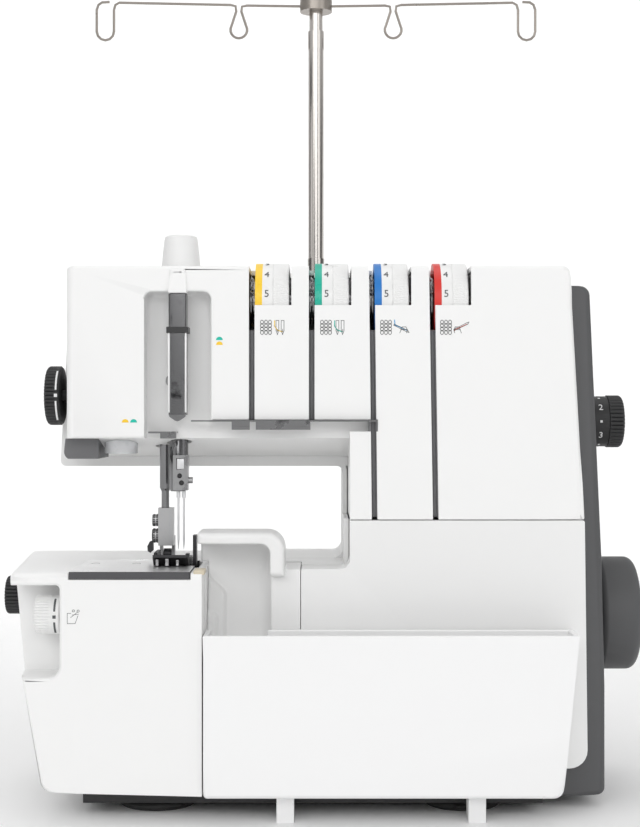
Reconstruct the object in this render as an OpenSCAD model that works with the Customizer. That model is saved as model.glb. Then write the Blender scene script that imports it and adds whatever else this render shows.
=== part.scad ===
// Four-thread overlock sewing machine (serger).
// Millimetres. +Z is up, +X is the operator's right, -Y is the operator's side.
// The origin lies on the table, under the middle of the machine's overall box.

/* [Body] */
// Height of the front cover's top above the table
top_z = 274.5; // [273:0.5:276]
// Height of the sewing bed above the table
bed_z = 123; // [122.5:0.25:123.5]
// Wall thickness of the plastic covers
wall = 2.5; // [2:0.1:2.8]
// Depth of the scoop round the take-up channel
scoop_depth = 12; // [10:0.5:12.5]

/* [Dials and wheels] */
// Radius of the four thread tension dials
dial_r = 20; // [19:0.1:20.2]
// Distance from one tension dial to the next
dial_pitch = 30; // [29.8:0.1:30.2]
// Radius of the handwheel
wheel_r = 30; // [28:0.5:32]

/* [Sewing parts] */
// Radius of the needle bar
needle_bar_r = 3.6; // [3.2:0.1:3.8]
// Length of needle below its clamp
needle_len = 30.5; // [28:0.5:31]
// How far the needle bar stands above its lowest point
needle_stroke = 26; // [24:0.5:27]

/* [Spool stand and mast] */
// Height of the mast's top cap above the table
mast_top = 457.8; // [450:0.2:470]
// Half of the thread guide wire's span
guide_half = 136.4; // [125:0.2:140]

/* [Hidden] */
$fn = 48;
round_fn = 32;
gap = 0.3;              // between parts that only lie beside each other
run = 0.05;             // radial clearance of a shaft in its bore

front_y = -116;         // reference plane a little ahead of the upper cover
face_y = -110;          // front face of the upper cover and of the looper door
bed_front = -132;       // front face of the bed
split_y = -52;          // joint between the front and rear covers
back_y = 8;             // rear face of the body
side_y = -96;           // front face of the dark side cover
side_x = 116;           // joint between the white covers and the side cover
shell_x = side_x - gap; // right end of the white shell behind the side cover's front
half_depth = 135;
half_width = 168.2;

switch_x = 139;         // power switch and its pivot
switch_y = -22;
switch_z = 62;
inlet_x = 134.7;        // bottom of the mains inlet's recess

col_x = 15;             // left wall of the column
cover_right = 132.4;
seam_z = 147.5;         // joint between upper cover and looper door
arm_z = 188;            // lower front edge of the arm
arm_back_z = 176.5;     // underside of the front cover at the split
rear_arm_z = 172.3;     // underside of the rear cover's arm

// needle and presser bars
needle_x = -71.2;
needle_y = -90;
clamp_z0 = bed_z + 12.3 + needle_stroke;
clamp_z1 = clamp_z0 + 17.9;
presser_x = -80.5;
presser_y = -78;
presser_r = 2.9;
foot_y0 = -108;
plate_top = bed_z + 0.6;

// shafts that lie along X
shaft_y = -50;
shaft_z = 93.5;
shaft_r = 6;
wheel_x = 146.6;        // inner face of the handwheel
length_z = 196.3;       // stitch length dial
motor_y = -13.5;
motor_z = 46;
pulley_x0 = 119;
pulley_x1 = 129;
pulley_r = 24;
motor_pulley_r = 8;
belt_t = 2;

dial_y = face_y + dial_r + 1;
dial_z = top_z + 2.8 - dial_r;
dial_w = 17.1;
ring_w = 3.6;
dial_x0 = -32.6;
slot_w = 2.9;
spindle_r = 4;
window_z = 254.7;       // lower edge of the dial windows

knob_y = -50;
knob_z = 103;
width_y = -118;
width_z = 101;
pressure_y = -68;
pressure_z = 209.9;

spool_y = 100;
spool_pitch = 70;
tray_y0 = 56;
tray_z0 = 184;
tray_z1 = 196;
mast_x = -2.5;
mast_y = 80;
mast_joint = 296.6;     // top of the lower tube
mast_neck = mast_top - 19.9;

// ---------------------------------------------------------------- helpers

function step_of(a, b) = (b - a) / max(norm(b - a), 1e-6);

// The corner at b between a and c, as an arc of radius r drawn in n steps
function corner(a, b, c, r, n = 6) =
    r <= 0 ? [b] :
    let (u = step_of(b, a), v = step_of(b, c),
         half = acos(max(-1, min(1, u * v))) / 2,
         back = r / tan(half),
         mid = step_of([0, 0], u + v),
         centre = b + mid * (r / sin(half)),
         p = b + u * back - centre,
         q = b + v * back - centre,
         a0 = atan2(p.y, p.x),
         turn = atan2(p.x * q.y - p.y * q.x, p * q))
    [for (i = [0:n]) centre + r * [cos(a0 + turn * i / n), sin(a0 + turn * i / n)]];

// A closed outline from [x, y, corner radius] entries
function rounded(pts) =
    let (n = len(pts), xy = [for (p = pts) [p[0], p[1]]])
    [for (i = [0:n - 1]) each corner(xy[(i + n - 1) % n], xy[i], xy[(i + 1) % n], pts[i][2])];

module box(lo, hi) {
    translate(lo) cube(hi - lo);
}

module along_x(x0, x1) {
    translate([x0, 0, 0]) rotate([90, 0, 90]) linear_extrude(x1 - x0) children();
}

module along_y(y0, y1) {
    translate([0, y1, 0]) rotate([90, 0, 0]) linear_extrude(y1 - y0) children();
}

module rod_x(r, x0, x1, y, z) {
    translate([x0, y, z]) rotate([0, 90, 0]) cylinder(r = r, h = x1 - x0);
}

module rod_y(r, y0, y1, x, z) {
    translate([x, y1, z]) rotate([90, 0, 0]) cylinder(r = r, h = y1 - y0);
}

module rod_z(r, z0, z1, x, y) {
    translate([x, y, z0]) cylinder(r = r, h = z1 - z0);
}

// A turned knob along +X from x0: base radius r, length w, outer edge rounded by e
module turned_x(r, w, e, x0, y, z) {
    translate([x0, y, z]) rotate([0, 90, 0])
        rotate_extrude() polygon(concat([[0, 0], [r, 0]],
            [for (i = [0:6]) [r - e + e * cos(15 * i), w - e + e * sin(15 * i)]], [[0, w]]));
}

// A round wire of radius r through the points
module wire(path, r, sides = 8) {
    n = len(path);
    function dir(i) = step_of(path[max(i - 1, 0)], path[min(i + 1, n - 1)]);
    function side(i) = let (d = dir(i), s = cross(d, [0, 1, 0])) s / norm(s);
    rings = [for (i = [0:n - 1]) let (s = side(i), t = cross(dir(i), s))
        for (k = [0:sides - 1]) path[i] + r * (cos(360 * k / sides) * s + sin(360 * k / sides) * t)];
    faces = concat(
        [[for (k = [0:sides - 1]) k]],
        [for (i = [0:n - 2]) for (k = [0:sides - 1])
            let (a = i * sides + k, b = i * sides + (k + 1) % sides)
            [a, a + sides, b + sides, b]],
        [[for (k = [sides - 1:-1:0]) (n - 1) * sides + k]]);
    polyhedron(rings, faces);
}

// ------------------------------------------------------------ base and feet

module base_plate() {
    color("#26272a") {
        difference() {
            box([-119, face_y + 3, 5], [112, back_y - 0.5, 11]);
            box([-116, face_y + 6, 8], [109, back_y - 3.5, 12]);
        }
        difference() {
            for (x = hinge_ears) {
                box([x, hinge_y - 2.5, hinge_z - 2.5], [x + 2, hinge_y + 14, hinge_z + 2.5]);
                box([x, hinge_y + 10, 7.9], [x + 2, hinge_y + 14, hinge_z + 2.5]);
            }
            rod_x(1.6 + run, -10, 115, hinge_y, hinge_z);
        }
    }
}

module rubber_feet() {
    color("#161617") for (x = [-83.3, 73.2], y = [-85, -14])
        translate([x, y, 0]) rotate_extrude()
            polygon([[0, 0], [18.5, 0], [20.5, 1.6], [21, 3], [17, 5], [0, 5]]);
}

// --------------------------------------------------------------- main frame

bed_ribs = [-110, -32];     // left faces of the bearing ribs under the bed
rib_t = 9;

module main_frame() {
    color("#a9abad") difference() {
        union() {
            box([26, front_y + 50, 8], [104, front_y + 84, 268]);                  // column
            box([-118, front_y + 50, 202], [26, front_y + 84, 250]);               // arm
            box([-90, front_y + 21, 198], [-60, front_y + 50, 258]);               // head block
            box([-112, front_y + 48, 8], [26, front_y + 84, 40]);                  // bed
            for (x = bed_ribs) box([x, front_y + 48, 40], [x + rib_t, front_y + 84, 110]);
            box([-112, front_y + 42, 24], [-30, front_y + 48, 78]);                // looper shaft wall
            for (x = [-94, -80]) box([x, front_y + 84, lift_z - 8], [x + 4, lift_y + 6, lift_z + 8]);
        }
        for (x = concat(bed_ribs, [26]))
            rod_x(shaft_r + 3, x - 1, x + rib_t + 0.01, shaft_y, shaft_z);
        rod_x(shaft_r + 3, 95, 105, shaft_y, shaft_z);
        rod_x(shaft_r + 1, 34, 96, shaft_y, shaft_z);
        rod_z(needle_bar_r + run, 190, 270, needle_x, needle_y);
        rod_z(presser_r + run, 190, 270, presser_x, presser_y);
        rod_x(3 + run, 90, 105, shaft_y, length_z);
        for (p = [lower_pivot, upper_pivot]) rod_y(3 + run, front_y + 41, front_y + 52, p.x, p.y);
        rod_x(2.5 + run, -95, -75, lift_y, lift_z);
    }
}

// ------------------------------------------------------------------- covers

side_outline = [[-57.5, 14.3, 0], [-135, 16.2, 6], [-144.8, 70.5, 0], [-149, 115.5, 0], [-150.4, 117, 0],
                [-150.4, bed_z, 2], [-57.5, bed_z, 0]];
bed_flare = 3.4;        // how far the bed's left wall leans out behind the dial recess

// The left part of the bed's section under its top plate, moved out to the left
function bed_wall(out) = [[-100, 16, 0], [-135 - out, 16.2, 6], [-144.8 - out, 70.5, 0],
                          [-149 - out, 115.5, 0], [-100, 115.5, 0]];
dial_pocket = [[-180, 71.8, 0], [-126.8, 71.8, 6], [-126.8, 116.9, 2], [-180, 116.9, 0]];
slab = [[-150.4, bed_front, 2], [-57.5, bed_front, 0], [-57.5, -8, 0], [-162.6, -8, 4]];
side_back = -38;        // rear edge of the left cover's wall

module left_cover() {
    color("#f1f1f1") difference() {
        union() {
            along_y(bed_front, side_back) polygon(rounded(side_outline));
            hull() {
                along_y(bed_front, bed_front + 0.5) polygon(rounded(bed_wall(0)));
                along_y(bed_front + 26, side_back) polygon(rounded(bed_wall(bed_flare)));
            }
            translate([0, 0, 117.2]) linear_extrude(bed_z - 117.2) polygon(rounded(slab));
        }
        difference() {
            along_y(bed_front + wall, side_back + 1) offset(delta = -wall) polygon(rounded(side_outline));
            along_y(bed_front, bed_front + 26 + wall) offset(delta = wall) polygon(rounded(dial_pocket));
        }
        along_y(bed_front - 1, bed_front + 26) polygon(rounded(dial_pocket));
        translate([0, 0, 110]) linear_extrude(bed_z - wall - 110)
            polygon([[-146, -90], [-60, -90], [-60, -10.5], [-156, -10.5]]);
        rod_x(4, -130, -120, width_y, width_z);
        rod_x(4.5, -165, -138, knob_y, knob_z);
        box([-122.3, bed_front - 1, bed_z - 3.3], [-62.9, plate_back + 0.3, bed_z + 1]); // needle plate seat
        box([-68, -106, bed_z - 10], [-61, -74, bed_z + 1]);                               // knife gap
        box([-61, -100, 10], [-56, side_back + 1, 117]); // shafts pass here
        box([-120, -105, 10], [-56, side_back + 1, 19]); // open over the base
    }
}

cover_outline = [[-131, top_z, 4], [cover_right - 7.2, top_z, 4], [cover_right, seam_z, 0.8],
                 [col_x, seam_z, 0.6], [col_x, arm_back_z - 2, 0], [-136, arm_back_z - 2, 3]];
cover_plan = [[-126.4, face_y, 4], [cover_right + 1, face_y, 4], [cover_right + 1, split_y - 0.3, 0],
              [-136, split_y - 0.3, 0], [-127.6, face_y + 7, 3]];

// Everything under the arm: its underside slopes down towards the back
module under_arm(up = 0) {
    along_x(-200, col_x + up) polygon([
        [front_y - 5, 100], [front_y - 5, arm_z + up], [face_y + 12, arm_z + up],
        [split_y + 5, arm_back_z + up], [split_y + 5, 100]]);
}

// The scoop round the take-up channel and the step behind the thread guide rail
module scoop(grow = 0) {
    y1 = face_y + scoop_depth + grow;
    along_y(face_y - 1, y1) offset(delta = grow)
        polygon(rounded([[-88, 170, 0], [-88, 261.5, 4], [-54.75, 261.5, 4], [-54.75, 170, 0]]));
    box([-56 - grow, face_y - 1, 170], [col_x + grow - 0.2, y1 - 2, 197.5]);
    box([-56 - grow, face_y - 1, 191.5 - grow], [29 + grow, y1 - 5, 197.5]);
}

function slot_x(i) = dial_x0 + dial_pitch * i - slot_w - 0.1;
function slot_bottom(i) = i < 2 ? 196.5 : seam_z - 1;
function slot_lean(i) = i < 2 ? 0 : 0.3 + 0.6 * i;

module slot(i, grow = 0) {
    polygon([[slot_x(i) - grow, top_z + 5], [slot_x(i) + slot_w + grow, top_z + 5],
             [slot_x(i) + slot_w + slot_lean(i) + grow, slot_bottom(i)],
             [slot_x(i) + slot_lean(i) - grow, slot_bottom(i)]]);
}

module front_cover() {
    ridge = [[needle_x - 4.5, 260.8, 0], [needle_x - 4.1, 273, 1.5], [needle_x + 4.1, 273, 1.5],
             [needle_x + 4.5, 260.8, 0]];
    color("#f1f1f1") {
        difference() {
            intersection() {
                along_y(face_y, split_y - 0.3) polygon(rounded(cover_outline));
                translate([0, 0, 140]) linear_extrude(160) polygon(rounded(cover_plan));
            }
            difference() {
                intersection() {
                    along_y(face_y + wall, split_y) offset(delta = -wall) polygon(rounded(cover_outline));
                    translate([0, 0, 140]) linear_extrude(160)
                        offset(delta = -wall) polygon(rounded(cover_plan));
                }
                scoop(wall);
                under_arm(wall);
                box([shell_x - wall, side_y - 0.3 - wall, 262], [cover_right, side_y - 0.3, top_z]);
                box([shell_x - wall, side_y - 1, 262], [shell_x, split_y, top_z]); // above the side cover
            }
            box([-127, split_y - 5, arm_back_z + wall + 3], [shell_x - wall, split_y + 1, top_z - wall]);
            scoop();
            under_arm();
            for (i = [0:3]) {
                x = dial_x0 + dial_pitch * i;
                along_y(face_y - 1, face_y + 28) slot(i);
                box([x - 0.5, face_y - 1, window_z], [x + dial_w + 1.2, dial_y + dial_r + 1, top_z + 5]);
                rod_x(dial_r + gap, x - 0.5, x + dial_w + 1.2, dial_y, dial_z);
            }
            box([side_x - 0.3, side_y - 0.3, 140], [150, split_y + 1, 300]);
            box([20, -92, 140], [side_x, split_y + 1, seam_z + 4]); // the column stands here
            box([col_x + 3, split_y - 5, 140], [side_x, split_y + 1, 200]);
            rod_z(needle_bar_r + 2, 165, 230, needle_x, needle_y);
            rod_z(presser_r + 2, 165, 230, presser_x, presser_y);
            rod_z(needle_bar_r + 2, 165, 200, needle_x - 2, needle_y + 4);
            rod_z(7, 265, 290, needle_x, needle_y);
            rod_x(4, -150, -120, pressure_y, pressure_z);
        }
        along_y(face_y - 1.6, face_y + scoop_depth + 1) polygon(rounded(ridge));
    }
}

rear_outline = [[-139.5, rear_arm_z, 3], [-134, top_z - 2, 6], [side_x - 0.3, top_z - 2, 0],
                [side_x - 0.3, 14.3, 0], [-139.4, 14.3, 5], [-148.4, 70, 0], [-152.9, 116.7, 0],
                [-57.2, 116.7, 0], [-57.2, bed_z, 0], [12, bed_z, 5], [12, rear_arm_z, 3]];

module rear_cover() {
    color("#ededee") difference() {
        along_y(split_y, back_y) polygon(rounded(rear_outline));
        difference() {
            along_y(split_y - 1, back_y - wall) offset(delta = -wall) polygon(rounded(rear_outline));
            box([-140, split_y - 1, rear_arm_z], [col_x, split_y + 3, arm_back_z + 5]); // lip under the arm
            box([-140, split_y - 1, rear_arm_z], [-131, split_y + 3, top_z]); // lip at the arm's left end
        }
        box([side_x - 4, split_y - 1, 17], [side_x + 1, back_y - wall, 264]);
        box([-160, split_y - 1, 10], [-57, side_back + 0.4, 118]);
        box([-120, split_y - 1, 10], [side_x + 1, back_y - wall, 17.2]); // open over the base
        box([-91, back_y - 5, lift_z - 37], [-79, back_y + 1, lift_z + 10]);         // lifter slot
    }
}

module right_cover() {
    side = [[side_x, 6, 0], [side_x, 265.6, 0], [137.4, 265.6, 5], [143.6, 128, 0], [145.2, 62, 0],
            [145.2, 6, 4]];
    color("#4c4d50") difference() {
        along_y(side_y, back_y) polygon(rounded(side));
        difference() {
            along_y(side_y + wall, back_y - wall) offset(delta = -wall) polygon(rounded(side));
            box([side_x, side_y, 5], [side_x + wall + 1, side_y + 3 * wall, 267]);
        }
        box([side_x - 1, -90, 30], [side_x + 5, back_y - wall, 240]);
        rod_x(8, 135, 160, shaft_y, shaft_z);
        rod_x(4.5, 130, 160, shaft_y, length_z);
        box([switch_x - 3, switch_y - 6, switch_z - 10.4], [160, switch_y + 6, switch_z + 10.4]);
        box([inlet_x + 7.8, switch_y - 12, 22], [160, switch_y + 12, 40]);           // mains inlet
    }
    color("#4c4d50") difference() {
        box([inlet_x, switch_y - 13, 21], [inlet_x + 9.5, switch_y + 13, 41]);
        box([inlet_x + 1.5, switch_y - 11.5, 22.5], [160, switch_y + 11.5, 39.5]);
    }
    color("#4c4d50") for (y = [-7, 0, 7])
        box([inlet_x + 1, switch_y + y - 0.5, 29], [inlet_x + 8, switch_y + y + 0.5, 33]);
}

door_lip = 23;          // lower edge beside the dark side cover, which it swings clear of
door_outline = [[-9.5, 19, 0], [-9.5, bed_z - 0.3, 1], [col_x, bed_z - 0.3, 5], [col_x, seam_z - 0.5, 1],
                [cover_right, seam_z - 0.5, 1], [cover_right + 1.5, door_lip, 9], [side_x - 0.3, door_lip, 0],
                [side_x - 0.3, 19, 0]];
door_back = -90;
hinge_y = -98;
hinge_z = 24;
hinge_ears = [-5.4, 104];       // left faces of the ears that carry the door

module looper_door() {
    color("#f1f1f1") {
        difference() {
            along_y(face_y, door_back) polygon(rounded(door_outline));
            along_y(face_y + wall, door_back + 1) offset(delta = -wall) polygon(rounded(door_outline));
            box([-10, face_y + wall, 22], [-6, door_back + 1, bed_z - 3]);
            box([side_x - 0.3, side_y - 0.3, 15], [150, door_back + 1, 160]);
            box([-20, face_y + wall, 18], [side_x, door_back + 1, 22]);
        }
        for (x = hinge_ears) {
            box([x + 2.3, face_y + wall - 0.1, hinge_z - 2], [x + 4.3, hinge_y + 2, hinge_z + 2]);
            rod_x(1.6, x - 0.5, x + 3, hinge_y, hinge_z);
        }
    }
}

hood_left = -60.9;      // the hood reaches over the edge of the bed
hood_outline = [[-57.2, 119.6, 0], [-57.2, 141.4, 1], [-17.6, 141.4, 9.2], [-17.6, 119.6, 0]];
// Side view of the scoop that leads trimmings down into the bin
chute_curve = concat([[face_y - 10, 135.8], [-91, 135.8]],
    [for (i = [0:8]) [-107 + 16 * (1 - pow(i / 8, 2)), 132 - 8 * i]],
    [[-107, 26], [face_y - 10, 26]]);

module waste_chute() {
    color("#f0f0f0") difference() {
        union() {
            along_y(face_y - 8, -86) polygon(rounded(hood_outline));
            along_y(face_y - 8, -86)
                polygon(rounded([[hood_left, bed_z + 1.8, 0], [hood_left, 141.4, 1], [-50, 141.4, 0],
                                 [-50, bed_z + 1.8, 0]]));
            box([-57.2, face_y, 22], [-9.8, -74, bed_z - 0.3]);
        }
        along_x(-70, -24.8) polygon(chute_curve);
        box([-22.5, face_y + wall, 15], [-12.3, -60, bed_z - 3]);
        along_x(-60, -24.8) polygon([[-104.5, 15], [-104.5, 68], [-88, 118], [-60, 118], [-60, 15]]);
    }
}

module bed_infill() {
    color("#ececec") difference() {
        union() {
            box([-57.2, -73.7, 115], [col_x - 0.3, split_y - 0.3, bed_z]);
            box([-9.5, door_back + 0.5, 115], [col_x - 0.3, -73, bed_z]);
            box([col_x - 3, door_back + 0.5, 115], [col_x - 0.3, split_y - 0.3, seam_z - 0.7]);
        }
        box([-55, -71.5, 110], [col_x - 3, split_y - 2.5, bed_z - wall]);
    }
}

bin_back = face_y - 2;
bin_z0 = 13.7;
bin_z1 = 92.8;

module waste_bin() {
    color("#f3f3f3") {
        difference() {
            along_y(-half_depth, bin_back)
                polygon(rounded([[-56.6, bin_z0, 2], [-56.6, bin_z1, 0.5],
                                 [125.8, bin_z1, 0.5], [117.9, bin_z0, 5]]));
            along_y(-half_depth + 2.2, bin_back - 2.2)
                polygon([[-54.4, bin_z0 + 2.2], [-54.4, bin_z1 + 1],
                         [123.6, bin_z1 + 1], [115.7, bin_z0 + 2.2]]);
            box([-54.4, bin_back - 3, 68], [-26, bin_back + 1, bin_z1 + 1]);         // under the chute
        }
        for (x = [-21.3, 72.8]) along_x(x, x + 8.5) polygon([[-126, 0], [-126, bin_z0 + 1],
            [-113.5, bin_z0 + 1], [-113.5, 3], [-116, 0]]);
    }
}

// ----------------------------------------------------------- head furniture

module needle_bar_cap() {
    color("#f0f0f0") translate([needle_x, needle_y, top_z]) rotate_extrude() polygon([
        [5.2, 0], [10.1, 0], [8.6, 14.5], [8.1, 16.3], [6.8, 17], [0, 17.2], [0, 14.5], [5.2, 14.5]]);
}

module lamp_cover() {
    color("#5d5d5f") intersection() {
        box([-131, face_y + 12, 177.5], [-112, split_y - 8, 200]);
        translate([0, 0, -0.2]) under_arm();
        along_y(face_y, split_y)
            polygon(rounded([[-130.4, 177, 4], [-128, 200, 0], [-112.5, 200, 0], [-112.5, 177, 0]]));
    }
}

module lamp_lens() {
    color("#d9dadb") intersection() {
        rod_z(8.5, 180, 200, -102.4, face_y + 24);
        translate([0, 0, -0.2]) under_arm();
    }
}

module take_up_channel() {
    color("#8f9194") difference() {
        box([-75.7, face_y - 2, 199.8], [-66.7, face_y + 8, 260.3]);
        box([-74.9, face_y - 1.2, 199], [-67.5, face_y + 9, 261]);
        rod_y(1.2, face_y - 3, face_y + 1, needle_x, 204);
    }
    color("#8f9194") box([-75, face_y + 6.6, 206], [-67.4, face_y + 7.4, 256]);
    color("#8f9194") box([-72.2, face_y + 7.2, 228], [-70.2, face_y + scoop_depth - 0.02, 234]);
}

module channel_band() {
    color("#1a1a1a") difference() {
        box([-76.6, face_y - 2.9, 240.7], [-65.8, face_y + 8.9, 243.7]);
        box([-75.75, face_y - 2.05, 240], [-66.65, face_y + 8.05, 245]);
    }
}

module thread_guide_rail() {
    back = face_y + scoop_depth - 2;
    color("#77797c") {
        difference() {
            box([-64.7, face_y - 3, 196.4], [28.2, face_y + 6.9, 197.2]);
            box([-66, face_y - 5, 196], [-54, face_y + 2, 198]);
            for (x = [-62, -48, -9, 14]) rod_z(1.1, 195, 199, x, face_y + (x < -54 ? 4.5 : -1));
        }
        box([-54.5, face_y + 6.8, 196.4], [14.4, back - 0.02, 197.2]);
        box([-44, face_y - 3, 192.4], [-35, face_y - 2.2, 196.6]);
        box([-32, face_y - 3, 192.4], [-4.8, face_y - 2.2, 196.6]);
    }
}

module needle_thread_guide() {
    color("#8b8d90") {
        difference() {
            box([-86, face_y + 1, 190.6], [-72, face_y + scoop_depth - 0.02, 191.4]);
            for (x = [-83, -77]) rod_z(1, 190, 192, x, face_y + 4);
        }
        box([-80, face_y + 1, 188], [-72, face_y + 1.8, 190.8]);
    }
}

module thread_channels() {
    color("#707276") for (i = [0:3]) {
        z0 = i < 2 ? 200.5 : seam_z + 3;
        difference() {
            intersection() {
                along_y(face_y + wall + 0.1, face_y + 11) slot(i, 1.2);
                box([-100, face_y, z0], [150, face_y + 20, 238]);
            }
            along_y(face_y, face_y + 9.6) slot(i);
            box([-70, face_y - 1, 188.5], [32, face_y + 20, 200.5]); // round the guide rail
        }
    }
}

// ---------------------------------------------------------- tension devices

module tension_bracket() {
    back = dial_y + dial_r + 0.5;
    color("#55575a") difference() {
        union() {
            box([-42, back, 251], [84, back + 1.8, 271]);
            for (i = [0:3]) {
                x = dial_x0 + dial_pitch * i + dial_w + 1.6;
                box([x, face_y + 9, 251], [x + 2, back + 0.1, 271]);
            }
            for (x = [32, 78]) box([x, back + 1.7, 252], [x + 6, front_y + 50, 262]);
        }
        for (i = [0:3]) {
            x = dial_x0 + dial_pitch * i + dial_w;
            rod_x(spindle_r - 1 + run, x, x + 4, dial_y, dial_z);
        }
    }
}

module tension_spindles() {
    color("#b5b6b8") for (i = [0:3]) {
        x = dial_x0 + dial_pitch * i;
        rod_x(spindle_r, x - slot_w - 1.2, x + dial_w + 1.5, dial_y, dial_z);
        rod_x(spindle_r - 1, x + dial_w + 1.4, x + dial_w + 3.6, dial_y, dial_z);
    }
}

module tension_discs() {
    color("#c9cacc") for (i = [0:3], k = [0, 1]) {
        x = dial_x0 + dial_pitch * i - slot_w + 0.2 + k * 1.6;
        difference() {
            rod_x(11, x, x + 0.7, dial_y, dial_z);
            rod_x(spindle_r + run, x - 1, x + 2, dial_y, dial_z);
        }
    }
}

module tension_drum(i) {
    x = dial_x0 + dial_pitch * i;
    color("#f4f4f4") difference() {
        turned_x(dial_r, dial_w - ring_w, 1, x + ring_w, dial_y, dial_z);
        rod_x(spindle_r + run, x, x + dial_w + 1, dial_y, dial_z);
        difference() {
            rod_x(dial_r - 2.2, x + ring_w - 1, x + dial_w - 4, dial_y, dial_z);
            rod_x(spindle_r + 2.5, x, x + dial_w, dial_y, dial_z);
        }
    }
}

module dial_ring(i, shade) {
    x = dial_x0 + dial_pitch * i;
    color(shade) difference() {
        rod_x(dial_r, x, x + ring_w, dial_y, dial_z);
        rod_x(spindle_r + run, x - 1, x + ring_w + 1, dial_y, dial_z);
    }
}

// ------------------------------------------------------------ dials, knobs

module stitch_length_dial() {
    color("#3a3b3d") turned_x(14, 18.4, 3, 143.6, shaft_y, length_z);
    color("#3a3b3d") rod_x(3, 96, 145, shaft_y, length_z);
}

module pressure_dial() {
    color("#2e2e30") translate([-136.6, 0, 0]) mirror([1, 0, 0])
        turned_x(15.5, 6.6, 2, 0, pressure_y, pressure_z);
    color("#2e2e30") rod_x(3, -138, -122, pressure_y, pressure_z);
}

module cutting_width_dial() {
    color("#f2f2f2") translate([-127.6, 0, 0]) mirror([1, 0, 0])
        turned_x(9.5, 12.8, 1.6, 0, width_y, width_z);
    color("#f2f2f2") rod_x(3, -129, -121, width_y, width_z);
}

module blade_knob() {
    color("#2b2b2d") translate([-154.6, 0, 0]) mirror([1, 0, 0])
        turned_x(10.2, half_width - 154.6, 1.5, 0, knob_y, knob_z);
    color("#2b2b2d") rod_x(4, -156, -140, knob_y, knob_z);
}

// -------------------------------------------------------------- drive train

module handwheel() {
    color("#3b3c3f") difference() {
        turned_x(wheel_r, half_width - wheel_x, 5, wheel_x, shaft_y, shaft_z);
        rod_x(shaft_r, wheel_x - 1, wheel_x + 10.4, shaft_y, shaft_z);
    }
}

module main_shaft() {
    color("#bcbdbf") {
        rod_x(shaft_r, -111, wheel_x + 10.4, shaft_y, shaft_z);
        rod_x(pulley_r, pulley_x0, pulley_x1, shaft_y, shaft_z);
        for (x = [pulley_x0 - 1.5, pulley_x1]) rod_x(pulley_r + 2.5, x, x + 1.5, shaft_y, shaft_z);
        for (x = [-92, -76, -60, -44])
            rod_x(10, x, x + 6, shaft_y + 2.5 * cos(x * 5), shaft_z + 2.5 * sin(x * 5));
    }
}

module main_bearings() {
    color("#b08d57") for (x = concat(bed_ribs, [25, 95])) difference() {
        rod_x(shaft_r + 3, x, x + rib_t, shaft_y, shaft_z);
        rod_x(shaft_r + run, x - 1, x + rib_t + 1, shaft_y, shaft_z);
    }
}

module motor() {
    color("#707275") difference() {
        union() {
            rod_x(18, 40, 104, motor_y, motor_z);
            rod_x(9, 36, 40.1, motor_y, motor_z);
            box([48, motor_y - 14, 8], [96, motor_y + 14, 34]);
        }
        rod_x(3 + run, 90, 105, motor_y, motor_z);
    }
}

module motor_pulley() {
    color("#8d8f92") {
        rod_x(motor_pulley_r, pulley_x0, pulley_x1, motor_y, motor_z);
        for (x = [pulley_x0 - 1.5, pulley_x1]) rod_x(motor_pulley_r + 2, x, x + 1.5, motor_y, motor_z);
        rod_x(3, 92, pulley_x0, motor_y, motor_z);
    }
}

// The outline of a belt run: the two pulleys' circles joined by their outer tangents
module belt_line(grow) {
    r1 = pulley_r + grow;
    r2 = motor_pulley_r + grow;
    d = norm([motor_y - shaft_y, motor_z - shaft_z]);
    a = atan2(motor_z - shaft_z, motor_y - shaft_y);
    b = acos((r1 - r2) / d);
    n = 24;
    polygon(concat(
        [for (i = [0:n]) let (t = a + b + (360 - 2 * b) * i / n) [shaft_y, shaft_z] + r1 * [cos(t), sin(t)]],
        [for (i = [0:n / 2]) let (t = a - b + 4 * b * i / n) [motor_y, motor_z] + r2 * [cos(t), sin(t)]]));
}

module drive_belt() {
    color("#1f1f20") difference() {
        along_x(pulley_x0 + 1, pulley_x1 - 1) belt_line(gap + belt_t);
        along_x(pulley_x0, pulley_x1) belt_line(gap);
    }
}

// ------------------------------------------------------------- sewing parts

module needle_bar() {
    color("#c4c5c7") rod_z(needle_bar_r, clamp_z1, top_z + 9, needle_x, needle_y);
}

module needle_clamp() {
    y0 = needle_y - 4.2;
    color("#9fa1a4") difference() {
        union() {
            box([needle_x - 3.8, y0, clamp_z0], [needle_x + 3.8, needle_y + 3.8, clamp_z1]);
            rod_x(1.6, needle_x + 3.5, needle_x + 6, needle_y, clamp_z0 + 5);
        }
        box([needle_x - 2.2, y0 - 1, clamp_z0 + 10.5], [needle_x + 2.2, y0 + 1, clamp_z1 - 1.5]);
        for (s = [-1, 1]) {
            rod_y(1.3, y0 - 1, y0 + 2.2, needle_x + 0.5 * s, clamp_z0 + 5.6 - 1.8 * s);
            rod_z(1, clamp_z0 - 1, clamp_z0 + 8, needle_x + 1.4 * s, needle_y);
        }
    }
}

module needles() {
    color("#d0d1d3") for (s = [-1, 1]) translate([needle_x + 1.4 * s, needle_y, 0]) {
        translate([0, 0, clamp_z0 - 4]) cylinder(r = 1, h = 12);
        translate([0, 0, clamp_z0 - needle_len + 5]) cylinder(r = 0.55, h = needle_len - 9 + 0.1);
        translate([0, 0, clamp_z0 - needle_len]) cylinder(r1 = 0.12, r2 = 0.55, h = 5.01);
    }
}

shank_z0 = 130.5;

module presser_bar() {
    color("#aeb0b3") {
        rod_z(presser_r, 162, 266, presser_x, presser_y);
        translate([presser_x, presser_y, 160]) cylinder(r1 = 2, r2 = presser_r, h = 2);
        rod_z(2, 148, 160.1, presser_x, presser_y);
    }
}

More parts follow.
